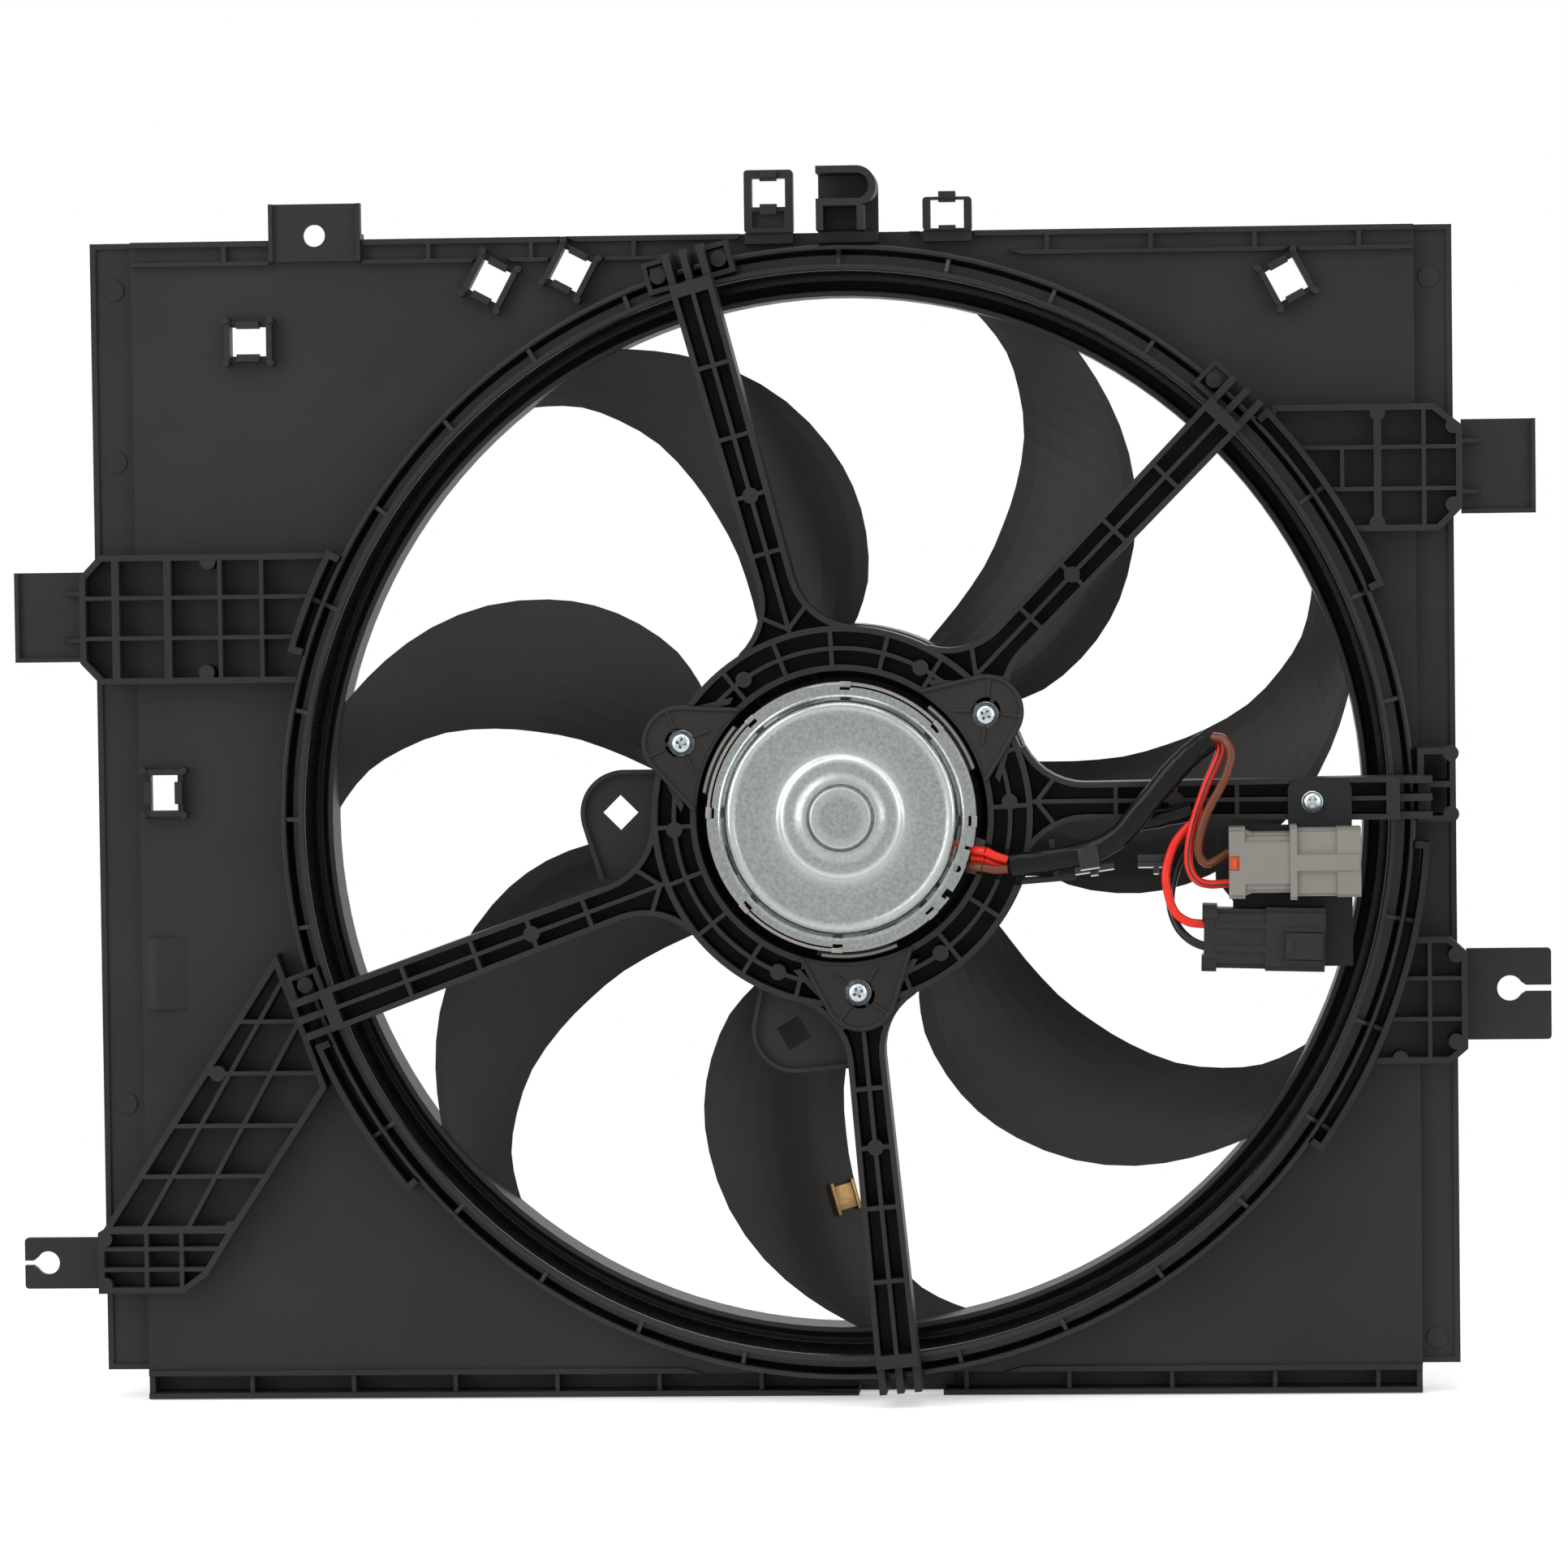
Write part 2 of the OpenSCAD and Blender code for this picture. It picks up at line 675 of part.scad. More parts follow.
module top_hook() {
  x0 = -8.9;
  x1 = 16;
  z0 = sheet_top;
  z1 = sheet_top + 26.5;
  wall = 3;
  end_r = (z1 - z0 - 10) / 2;
  color(black_pp) {
    // Back plate
    slab(-2, 2) {
      patch(x0, z0, x1 - end_r, z1);
      translate([x1 - end_r, z1 - end_r])
        circle(end_r);
      patch(x1 - end_r - 1, z0, x1, z1 - end_r);
    }
    // C-shaped wall round the groove
    slab(-22, -2 + weld) {
      patch(x0, z1 - wall, x1 - end_r, z1);
      patch(x0, z1 - 2 * end_r, x1 - end_r, z1 - 2 * end_r + wall);
      intersection() {
        translate([x1 - end_r, z1 - end_r])
          annulus(end_r - wall, end_r);
        patch(x1 - end_r, z0, x1 + 1, z1 + 1);
      }
      // Foot under the groove
      patch(x1 - 8, z0, x1 - 8 + wall, z1 - 2 * end_r + weld);
      patch(x0, z0, x0 + wall, z1 - 2 * end_r + weld);
    }
    slab(-6, 0)
      patch(x0, z0 - 4.5, x1, z0 + weld);
  }
}

// A pan with a floor, an outline wall, inner ribs and ejector discs
module lattice(outline, thick, thin, discs) {
  slab(-floor_t, 0)
    difference() {
      polygon(outline);
      duct_area();
    }
  slab(-lattice_front, -floor_t + weld)
    difference() {
      union() {
        outline_wall(outline, lattice_wall);
        intersection() {
          polygon(outline);
          union() {
            for (s = thick)
              rib([s[0], s[1]], [s[2], s[3]], lattice_wall + 0.6);
            for (s = thin)
              rib([s[0], s[1]], [s[2], s[3]], rib_t);
            for (d = discs)
              translate(d)
                circle(d = pin_disc_d);
          }
        }
      }
      duct_area();
    }
}

module bracket_left_upper() {
  color(black_pp)
    lattice(
      lu_outline,
      [[-304.3, 50, -304.3, 120], [-282.4, 50, -282.4, 120]],
      [
        [-260.4, 50, -260.4, 120], [-242.9, 50, -242.9, 120],
        [-320, 93, -200, 93], [-320, 76.2, -200, 76.2]
      ],
      [[-265.3, 108], [-266.4, 61.5]]
    );
}

module bracket_right_upper() {
  color(black_pp)
    lattice(
      ru_outline,
      [[221.6, 110, 221.6, 170]],
      [
        [240.7, 110, 240.7, 170], [207, 132, 207, 149], [180, 149.2, 260, 149.2],
        [180, 132, 260, 132]
      ],
      [[221.7, 163.4], [221.4, 118], [253, 157.8], [252.8, 125.2]]
    );
}

module bracket_right_lower() {
  color(black_pp)
    lattice(
      rl_outline,
      [],
      [[241.3, -110, 241.3, -50], [200, -70.7, 260, -70.7], [200, -87.6, 260, -87.6]],
      [[252.4, -61], [252.2, -97], [229, -104]]
    );
}

module bracket_left_lower() {
  color(black_pp)
    lattice(
      ll_outline,
      [[-316, -171.8, -256, -171.8]],
      [
        [-320, -84.6, -200, -84.6], [-320, -106.3, -200, -106.3], [-320, -128.2, -200, -128.2],
        [-320, -149.4, -200, -149.4], [-236.5, -67, -297, -171], [-229.5, -84, -278, -171],
        [-316, -179.8, -260, -179.8], [-316, -188.4, -260, -188.4],
        [-295.8, -198, -295.8, -172], [-281, -198, -281, -172]
      ],
      [[-264.5, -106.3], [-259.5, -171.4], [-313.6, -175.6], [-313.6, -195]]
    );
}

// A plain fixing tab with a raised rim on its outer and lower sides
module plain_tab(x0, z0, x1, z1, outer) {
  rim = 1.8;
  slab(-tab_t, 0)
    patch(min(x0, x1), z0, max(x0, x1), z1);
  slab(-tab_t - 2.5, -tab_t + 0.1) {
    patch(min(x0, x1), z0, max(x0, x1), z0 + rim);
    patch(min(outer, outer + sign(-outer) * rim), z0, max(outer, outer + sign(-outer) * rim), z1);
  }
  // Root gussets against the bracket wall
  root = abs(x0) < abs(x1) ? x0 : x1;
  for (z = [z0 + 9, z1 - 9])
    translate([root, 0, z - rib_t / 2])
      linear_extrude(height = rib_t)
        polygon([[0, -tab_t + 0.1], [sign(root) * 9, -tab_t + 0.1], [0, -tab_t - 7]]);
}

module tab_left_upper() {
  color(black_pp)
    plain_tab(-sheet_left - 32.7, 66.5, -sheet_left - 4, 104, -sheet_left - 32.7);
}

module tab_right_upper() {
  color(black_pp)
    plain_tab(sheet_right + 3, 121.5, sheet_right + 33.5, 160.5, sheet_right + 33.5);
}

// A fixing tab with a keyhole open at its outer end
module keyhole_tab(root, outer, z0, z1, kx, kz, kr, slot) {
  s = sign(outer);
  corner = 1.6;
  funnel = 1.25 * kr;
  difference() {
    slab(-tab_t, 0) {
      patch(min(root, outer - s * corner), z0, max(root, outer - s * corner), z1);
      patch(min(root, outer), z0 + corner, max(root, outer), z1 - corner);
      for (z = [z0 + corner, z1 - corner])
        translate([outer - s * corner, z])
          circle(corner);
    }
    slab(-tab_t - 1, 1) {
      translate([kx, kz])
        circle(kr);
      patch(min(kx, outer + s), kz - slot, max(kx, outer + s), kz + slot);
      // The hole narrows into the slot
      polygon([
        [kx, kz - kr / 2], [kx + s * kr * cos(30), kz - kr / 2], [kx + s * funnel, kz - slot],
        [kx + s * funnel, kz + slot], [kx + s * kr * cos(30), kz + kr / 2], [kx, kz + kr / 2]
      ]);
    }
  }
}

module tab_right_keyhole() {
  color(black_pp)
    keyhole_tab(
      sheet_right + 3.5, sheet_right + 38.5, -97, -59, sheet_right + 21.4, -75.7, right_key_r, right_slot
    );
}

module tab_left_keyhole() {
  color(black_pp)
    keyhole_tab(
      -sheet_left - 0.7, -sheet_left - 33.5, -197.3, -175.8, -sheet_left - 23.7, -186.4, left_key_r, left_slot
    );
}

// Outline of a screw lug on the carrier ring, drawn inward by the inset
module lug(inset) {
  lean = 54;
  r = lug_r - inset;
  // The flanks end just inside the round end, so that they cross it cleanly
  flank = 0.96 * r;
  translate([screw_r + 1, 0])
    circle(r);
  polygon([
    [hub_in + 1, -26 + 1.24 * inset], [screw_r + 1 + flank * cos(lean), -flank * sin(lean)],
    [screw_r + 1 + flank * cos(lean), flank * sin(lean)], [hub_in + 1, 26 - 1.24 * inset]
  ]);
}

// Children at each of the three screw places
module at_screws() {
  for (k = [0 : 2])
    rotate(screw_angle + 120 * k)
      children();
}

// The carrier ring seen from the front
module ring_area() {
  annulus(hub_in, hub_out);
  difference() {
    at_screws()
      lug(0);
    circle(hub_in + 0.5);
  }
}

module carrier_ring() {
  color(black_pp)
    difference() {
      union() {
        slab(-carrier_back - floor_t, -carrier_back)
          ring_area();
        slab(-carrier_front, -carrier_back - floor_t + weld) {
          annulus(hub_in, hub_in + hub_t);
          difference() {
            annulus(hub_out - hub_t, hub_out);
            at_screws()
              lug(hub_t - 0.1);
          }
          // Lug walls and collars, with thin crossed ribs
          difference() {
            at_screws()
              difference() {
                union() {
                  difference() {
                    lug(0);
                    lug(hub_t);
                  }
                  translate([screw_r, 0])
                    circle(5.6);
                  intersection() {
                    lug(0);
                    for (a = [30, 100, 150, 210, 260, 330])
                      translate([screw_r, 0])
                        rotate(a)
                          patch(0, -rib_t / 2, 24, rib_t / 2);
                  }
                }
              }
            circle(hub_in + 1);
          }
          // Arc rib and radial ribs between the lugs
          difference() {
            union() {
              annulus(hub_mid - rib_t / 2, hub_mid + rib_t / 2);
              for (k = [0 : 19])
                rotate(k * 18 + 3)
                  patch(hub_in + 1, -rib_t / 2, hub_out - 1, rib_t / 2);
              for (a = [125, 61.5, 247, 305.3, 4.5, 184])
                translate(polar(hub_mid, a))
                  circle(d = pin_disc_d);
            }
            at_screws()
              lug(1);
          }
        }
      }
      // Screw holes
      slab(-carrier_front - 1, -carrier_back + 1)
        at_screws()
          translate([screw_r, 0])
            circle(2.8);
      // Way out for the motor leads
      slab(-carrier_front - 1, -carrier_front + 9)
        rotate(-17)
          patch(hub_in - 1, -6.5, hub_out + 1, 6.5);
    }
}

// Distance at which an arm's flare starts, so that its arc runs tangent into the carrier ring
flare_start = sqrt(pow(hub_out + flare_r, 2) - pow(arm_half_in + flare_r, 2));
// Angle of the flare's arc, which ends just outside the ring with a blunt edge
flare_turn = asin(flare_start / (hub_out + flare_r)) - 8;
flare_steps = 7;

// One side of an arm from its root outward, inset by t
function arm_side(t) =
  let (arc = [
    for (k = [flare_steps : -1 : 0])
      let (a = flare_turn * k / flare_steps)
      [flare_start - (flare_r + t) * sin(a), arm_half_in + flare_r - (flare_r + t) * cos(a)]
  ])
  let (tip = arm_half_in + (arm_half_out - arm_half_in) * (arm_reach - flare_start) / 120)
  concat([0.97 * arc[0]], arc, [[arm_reach, tip - t]]);

// Arm outline drawn along +X, inset by t on both sides
module arm_area(t) {
  side = arm_side(t);
  last = len(side) - 1;
  polygon(concat(side, [for (i = [last : -1 : 0]) [side[i][0], -side[i][1]]]));
}

// Everything that the arms have to stay clear of
module hub_outline() {
  circle(hub_out);
  at_screws()
    lug(0);
}

// One lattice arm, turned to its direction and raised by dz
module arm(angle, dz, foot, boxes) {
  cross = [112.5, 137, 162, 192.5];
  difference() {
    union() {
      slab(-carrier_back - floor_t, -carrier_back)
        translate([0, dz])
          rotate(angle)
            arm_area(0);
      slab(-carrier_front, -carrier_back - floor_t + weld)
        translate([0, dz])
          rotate(angle) {
            // Side walls and centre rib
            difference() {
              arm_area(0);
              arm_area(arm_wall);
            }
            patch(hub_out - 1, -rib_t / 2, arm_reach, rib_t / 2);
            intersection() {
              arm_area(0);
              union() {
                // Branching ribs at the root
                rib([hub_out + 1.5, 0], [hub_out + 8.9, 9.6], rib_t);
                rib([hub_out + 1.5, 0], [hub_out + 8.9, -9.6], rib_t);
                for (r = cross)
                  patch(r - rib_t / 2, -20, r + rib_t / 2, 20);
              }
            }
            translate([137, 0])
              circle(d = pin_disc_d);
            // Thick cross rib over the duct's edge
            patch(arm_reach - 3, -arm_half_out, arm_reach + 2.5, arm_half_out);
          }
      // Fork of three prongs over the trough
      slab(-carrier_front + 4, -carrier_back)
        translate([0, dz])
          rotate(angle)
            for (s = [-1, 0, 1])
              translate([arm_reach, s * (arm_half_out - 1.5) - 1.5])
                square([foot - arm_reach, 3]);
      slab(-carrier_back - weld, 0)
        difference() {
          translate([0, dz])
            rotate(angle)
              for (s = [-1, 0, 1])
                translate([arm_reach, s * (arm_half_out - 1.5) - 1.5])
                  square([foot - arm_reach, 3]);
          circle(trough_r);
        }
      // Small open boxes on both sides, each with an ejector disc
      slab(-duct_front - 5, -trough_front)
        translate([0, dz])
          rotate(angle)
            for (s = boxes)
              difference() {
                union() {
                  translate([arm_reach + 2, s > 0 ? arm_half_out - 2 : -18.5])
                    square([13.5, 11.7]);
                }
                translate([arm_reach + 4, s > 0 ? arm_half_out : -16.5])
                  square([9.5, 7.7]);
              }
      slab(-duct_front - 5, -duct_front - 3)
        translate([0, dz])
          rotate(angle)
            for (s = boxes)
              translate([arm_reach + 8.7, s * 13])
                circle(d = pin_disc_d);
    }
    slab(-carrier_front - 1, -carrier_back + 1)
      hub_outline();
    // Stays clear of the duct's edge and of the trough's wall
    slab(-duct_front, -trough_front + 1)
      difference() {
        circle(duct_r + duct_t);
        circle(duct_r - 20);
      }
  }
}

module arm_top() {
  color(black_pp)
    arm(arm_angles[0], 0, arm_end, [-1, 1]);
}

module arm_upper_right() {
  color(black_pp)
    arm(arm_angles[1], 0, arm_end - 0.5, [1]);
}

module arm_bottom() {
  color(black_pp)
    arm(arm_angles[2], 0, arm_end - 2.4, []);
}

module arm_left() {
  color(black_pp)
    arm(arm_angles[3], 0, arm_end - 0.5, [-1]);
}

module arm_level() {
  color(black_pp)
    difference() {
      union() {
        arm(0, level_arm_z, arm_end, []);
        // Boss under the screw of the plug bracket
        slab(-carrier_front, -carrier_back - 1)
          translate([plate_screw_x, plate_screw_z])
            circle(5);
        // Open block at the arm's outer end
        slab(-duct_front - 5, 0)
          difference() {
            patch(trough_r + 0.5, -5, trough_r + 16, 25);
            circle(trough_r + 0.4);
            patch(trough_r + 5.6, -2.6, trough_r + 13.6, 9);
            patch(trough_r + 3, 11.5, trough_r + 13.6, 22.6);
          }
        slab(-duct_front - 5, -duct_front - 3)
          for (p = [[trough_r + 14, 23], [trough_r + 14, -2]])
            translate(p)
              circle(d = pin_disc_d);
      }
      slab(-carrier_front - 1, -carrier_back - floor_t + 0.6)
        translate([plate_screw_x, plate_screw_z])
          circle(2.1);
    }
}

// A drop-shaped plate with a square hole, drawn at its place left of the carrier ring
module drop_plate(inset) {
  translate([-91, 2])
    circle(17.7 - inset);
  polygon([
    [-91, 19.7 - inset], [-70, 19.7 - inset], [-70, -26], [-78, -27.3 + inset], [-100.6 + inset, -27.3 + inset],
    [-108.2 + inset, -2.5]
  ]);
}

module carrier_tabs() {
  color(black_pp)
    for (a = [0, 77.8]) {
      slab(-carrier_back - 6, -carrier_back - 3)
        difference() {
          rotate(a)
            difference() {
              drop_plate(0);
              translate([-92.3, 2.1])
                rotate(a == 0 ? 45 : 42)
                  square(10.4, center = true);
            }
          hub_outline();
          tab_keep_out();
        }
      slab(-carrier_back - 9, -carrier_back - 5.9)
        difference() {
          rotate(a)
            difference() {
              drop_plate(0);
              drop_plate(1.8);
            }
          hub_outline();
          tab_keep_out();
        }
    }
}

// Areas of the two arms beside the plates
module tab_keep_out() {
  rotate(arm_angles[2])
    arm_area(0);
  rotate(arm_angles[3])
    arm_area(0);
}

module sleeve_tray() {
  // Curved wall under the sleeve, with a shallow shelf behind it
  color(black_pp)
    slab(-carrier_front - 3, -carrier_back - 8)
      difference() {
        union() {
          rib([70, -27.6], [96, -25.6], 2.2);
          rib([88, -26.5], [86, -10], 2.2);
        }
        circle(hub_out);
        translate([0, level_arm_z])
          arm_area(0);
      }
}

module harness_clip() {
  // Two-finger clip round the sleeve and a slotted tongue beside it, both on the level arm
  color([0.13, 0.13, 0.13]) {
    slab(-carrier_front - 4, -carrier_front + 6) {
      difference() {
        patch(98, -25.6, 106.5, -9.6);
        patch(100.2, -23.4, 104.3, -11);
      }
      patch(97, -27.4, 99.5, -23.5);
      patch(104.5, -27.4, 107.5, -23.5);
    }
    slab(-carrier_front + 1, -carrier_front + 7) {
      difference() {
        patch(121.5, -25.8, 132, -2.6);
        patch(123.6, -23.6, 129.9, -17.6);
      }
      patch(119.8, -18.5, 122, -15.5);
      patch(131.5, -18.5, 133.7, -15.5);
    }
  }
}

// Catmull-Rom value between p1 and p2
function spline(p0, p1, p2, p3, t) =
  0.5 * (2 * p1 + (p2 - p0) * t + (2 * p0 - 5 * p1 + 4 * p2 - p3) * t * t
  + (3 * p1 - p0 - 3 * p2 + p3) * t * t * t);

// A list of points or rows smoothed with n steps between neighbours
function smooth(pts, n) = concat(
  [
    for (i = [0 : len(pts) - 2], k = [0 : n - 1])
      spline(
        i == 0 ? 2 * pts[0] - pts[1] : pts[i - 1], pts[i], pts[i + 1],
        i == len(pts) - 2 ? 2 * pts[i + 1] - pts[i] : pts[i + 2], k / n
      )
  ],
  [pts[len(pts) - 1]]
);

// Closed skin over a grid of rings: rings[i][j], with flat ends
module skin(rings) {
  n = len(rings[0]);
  m = len(rings);
  polyhedron(
    points = [for (ring = rings, p = ring) p],
    faces = concat(
      [for (i = [0 : m - 2], j = [0 : n - 1]) [i * n + j, i * n + (j + 1) % n, (i + 1) * n + j]],
      [for (i = [0 : m - 2], j = [0 : n - 1])
        [i * n + (j + 1) % n, (i + 1) * n + (j + 1) % n, (i + 1) * n + j]],
      [for (j = [1 : n - 2]) [0, j + 1, j]],
      [for (j = [1 : n - 2]) [(m - 1) * n, (m - 1) * n + j, (m - 1) * n + j + 1]]
    ),
    convexity = 10
  );
}

// Surface height of the blade along Y: u runs from the hub to the ring, t from the front to the rear edge
function blade_y(u, t) =
  let (front = -9 + 3 * u)
  let (rear = 19.5 - 6.5 * u)
  front + (rear - front) * t - camber * 4 * t * (1 - t) * (1 - 0.35 * u);

// Blade thickness along Y, thin at both edges
function blade_t(u, t) =
  (blade_root_t + (blade_tip_t - blade_root_t) * u) * (0.34 + 0.66 * sqrt(sin(180 * pow(t, 0.9))));

blade_cols = 8;

// One closed cross-section of the blade at a radius: front surface one way, rear surface back
function blade_ring(row) =
  let (u = (row[0] - blade_rows[0][0]) / (blade_rows[len(blade_rows) - 1][0] - blade_rows[0][0]))
  concat(
    [
      for (k = [0 : blade_cols])
        let (t = k / blade_cols)
        let (a = row[1] + (row[2] - row[1]) * t)
        [row[0] * cos(a), blade_y(u, t) - blade_t(u, t) / 2, row[0] * sin(a)]
    ],
    [
      for (k = [blade_cols : -1 : 0])
        let (t = k / blade_cols)
        let (a = row[1] + (row[2] - row[1]) * t)
        [row[0] * cos(a), blade_y(u, t) + blade_t(u, t) / 2, row[0] * sin(a)]
    ]
  );

module blade() {
  skin([for (row = smooth(blade_rows, 2)) blade_ring(row)]);
}

module fan_hub() {
  // A cup that is open toward the motor, with webs behind its closed end
  color([0.15, 0.145, 0.14]) {
    turned([
      [fan_hub_r - fan_hub_t, -fan_hub_front], [fan_hub_r - 0.8, -fan_hub_front],
      [fan_hub_r, -fan_hub_front + 0.8], [fan_hub_r, fan_hub_back - 1.5], [fan_hub_r - 1.5, fan_hub_back],
      [12.5, fan_hub_back], [12.5, fan_hub_back + 2], [9.5, fan_hub_back + 2], [9.5, 10], [14, 10],
      [14, fan_hub_back - fan_hub_t], [fan_hub_r - fan_hub_t - 2, fan_hub_back - fan_hub_t],
      [fan_hub_r - fan_hub_t, fan_hub_back - fan_hub_t - 2]
    ]);
    slab(10, fan_hub_back - fan_hub_t + weld)
      for (k = [0 : hub_webs - 1])
        rotate(k * 360 / hub_webs)
          patch(13, -rib_t / 2, fan_hub_r - fan_hub_t + weld, rib_t / 2);
  }
}

module fan_ring() {
  // Outer ring that joins the blade tips, with its rear flange
  inner = ring_r - ring_t;
  color([0.15, 0.145, 0.14])
    turned([
      [inner + 0.5, -ring_front], [ring_r - 0.5, -ring_front], [ring_r, -ring_front + 0.5],
      [ring_r, 12], [ring_r + 1.5, 14.5], [flange_r, 15.5], [flange_r, 17.5], [inner + 2, 17.5],
      [inner + 0.4, 15.6], [inner, 14.6], [inner, -ring_front + 0.5]
    ]);
}

module fan_blades() {
  // Seven swept blades between the hub and the ring
  color([0.16, 0.155, 0.15])
    for (k = [0 : blades - 1])
      rotate([0, -k * 360 / blades - blade_shift[k % len(blade_shift)], 0])
        intersection() {
          blade();
          slab(-ring_front - 10, fan_hub_back + 10)
            annulus(fan_hub_r, ring_r - ring_t);
        }
}

module fan_insert() {
  // Metal bush moulded into the hub, with a flat collar
  color(steel)
    turned([
      [shaft_r, 9], [11.5, 9], [11.5, 10], [9.5, 10], [9.5, fan_hub_back + 2], [shaft_r, fan_hub_back + 2]
    ]);
}

module fan_nut() {
  color(steel) {
    slab(fan_hub_back + 2, fan_hub_back + 7)
      difference() {
        circle(r = 7.5, $fn = 6);
        circle(shaft_r);
      }
  }
}

module balance_clip() {
  // Bent strip that straddles the rear edge of one blade
  clip_a = 269.4 + blade_shift[2];
  clip_r = 160;
  clip_long = 14;
  clip_wide = 6.6;
  slot = 5;
  color([0.56, 0.42, 0.24])
    rotate([0, -clip_a, 0])
      translate([clip_r, fan_hub_back - 7, 0])
        rotate([-28, 0, 0])
          difference() {
            translate([-clip_long / 2, -clip_wide / 2, -7.5])
              cube([clip_long, clip_wide, 10]);
            translate([-clip_long / 2 - 1, -slot / 2, -9])
              cube([clip_long + 2, slot, 10.6]);
          }
}

module motor_shaft() {
  color(steel) {
    axle(shaft_r, -can_front - 3, fan_hub_back + 8);
    axle(shaft_r - 0.8, fan_hub_back + 7.9, fan_hub_back + 9);
  }
}

module armature() {
  // Laminated stack with winding slots
  slots = 12;
  mid = -(can_front - can_back) / 2 + 3;
  color([0.42, 0.42, 0.44])
    slab(mid - armature_len / 2, mid + armature_len / 2)
      difference() {
        circle(armature_r);
        circle(shaft_r);
        for (k = [0 : slots - 1])
          rotate(k * 360 / slots) {
            patch(armature_r - 6, -1.3, armature_r + 1, 1.3);
            translate([armature_r - 9, 0])
              circle(4.2);
          }
      }
}

module windings() {
  // End turns of the copper winding on both sides of the stack
  mid = -(can_front - can_back) / 2 + 3;
  color([0.72, 0.4, 0.2]) {
    turned([
      [10, mid - armature_len / 2 - 5], [armature_r - 9, mid - armature_len / 2 - 5],
      [armature_r - 5, mid - armature_len / 2 - 2], [armature_r - 5, mid - armature_len / 2],
      [10, mid - armature_len / 2]
    ]);
    turned([
      [10, mid + armature_len / 2], [armature_r - 5, mid + armature_len / 2],
      [armature_r - 5, mid + armature_len / 2 + 2], [armature_r - 9, mid + armature_len / 2 + 5],
      [10, mid + armature_len / 2 + 5]
    ]);
  }
}

module commutator() {
  mid = -(can_front - can_back) / 2 + 3;
  front = mid - armature_len / 2 - 5;
  color([0.75, 0.45, 0.25])
    slab(front - 9, front)
      difference() {
        circle(13);
        circle(shaft_r);
        for (k = [0 : 11])
          rotate(k * 30 + 15)
            patch(11.4, -0.35, 14, 0.35);
      }
}

module motor_can() {
  // Drawn steel can with a flared front rim and a bearing seat in its closed end
  color(zinc)
    difference() {
      turned([
        [can_r - can_t, -can_front + 1.6], [can_r, -can_front + 1.6], [can_r, can_back - 3],
        [can_r - 3, can_back], [15, can_back], [13, can_back + 2], [shaft_r + 1, can_back + 2],
        [shaft_r + 1, can_back], [11, can_back], [13, can_back - can_t],
        [can_r - can_t - 2, can_back - can_t], [can_r - can_t, can_back - can_t - 2]
      ]);
      // Cooling slots in the closed end
      slab(can_back - 4, can_back + 3)
        for (k = [0 : 3])
          rotate(k * 90 + 45)
            patch(26, -4, 38, 4);
    }
}

module motor_cap() {
  // Pressed end cap: rim, raised face, dome and bearing boss
  f = -can_front;
  color(zinc)
    difference() {
      turned([
        [0, f - cap_rise - 5], [boss_r - 1.8, f - cap_rise - 5], [boss_r, f - cap_rise - 3.4],
        [boss_r + 0.4, f - cap_rise - 2.2], [dome_r - 3, f - cap_rise - 1.8],
        [dome_r, f - cap_rise], [dome_r + 3, f - cap_rise - 0.6],
        [cap_r - 3, f - cap_rise - 0.4], [cap_r - 0.8, f - cap_rise + 0.8], [cap_r + 1.4, f - 1.4],
        [cap_r + 3, f], [rim_r - 0.8, f], [rim_r, f + 0.6], [rim_r, f + 1.6],
        [cap_r + 2, f + 1.6], [cap_r - 1.6, f - cap_rise + 2.6], [dome_r, f - cap_rise + 2],
        [boss_r - 1.4, f - cap_rise + 1], [boss_r - 1.4, f - cap_rise - 1], [0, f - cap_rise - 1]
      ]);
      // Small locating hole in the rim near the leads
      slab(f - 1, f + 2)
        translate(polar(52.4, -24.7))
          circle(1.3);
      // Pressed notches between the crimped tabs
      for (k = [0 : 7])
        slab(f - 0.1, f + 0.8)
          rotate(k * 45 + 60)
            patch(rim_r - 2.2, -5, rim_r + 1, 5);
    }
}

module crimp_ring() {
  // Eight bent tabs of the can that hold the cap's rim
  color([0.6, 0.62, 0.62])
    for (k = [0 : 7])
      turned_arc([
        [rim_r - 4, -can_front - 1], [rim_r + 1.2, -can_front - 1], [rim_r + 1.2, -can_front + 4],
        [can_r, -can_front + 4], [can_r, -can_front + 1.6], [rim_r + 0.05, -can_front + 1.6],
        [rim_r + 0.05, -can_front], [rim_r - 4, -can_front]
      ], k * 45 + 38, k * 45 + 46);
}

module motor_flange() {
  // Steel plate on the can with three ears for the screws, and pads beside the rim
  flange_t = 2.5;
  ear_r = 8.5;
  pad_r = 57.8;
  pad_angle = 15.6;
  color([0.58, 0.6, 0.6])
    difference() {
      union() {
        slab(-carrier_back, -carrier_back + flange_t) {
          circle(can_r + 5);
          at_screws() {
            translate([screw_r, 0])
              circle(ear_r);
            patch(can_r, -ear_r, screw_r, ear_r);
          }
        }
        // Pads that rise through the carrier ring to the rim
        slab(-carrier_front + 1, -carrier_back + flange_t)
          at_screws()
            pie(pad_r, -pad_angle, pad_angle);
      }
      // The can passes through
      axle(can_r, -carrier_front, -carrier_back + flange_t + 1);
      slab(-carrier_back - 1, -carrier_back + 4)
        at_screws()
          translate([screw_r, 0])
            circle(2.6);
    }
}

module magnets() {
  mid = -(can_front - can_back) / 2 + 3;
  color([0.2, 0.2, 0.22])
    for (k = [0 : 3])
      turned_arc(
        band(can_r - can_t - magnet_t, can_r - can_t, mid - 16, mid + 16), k * 90 + 8, k * 90 + 82
      );
}

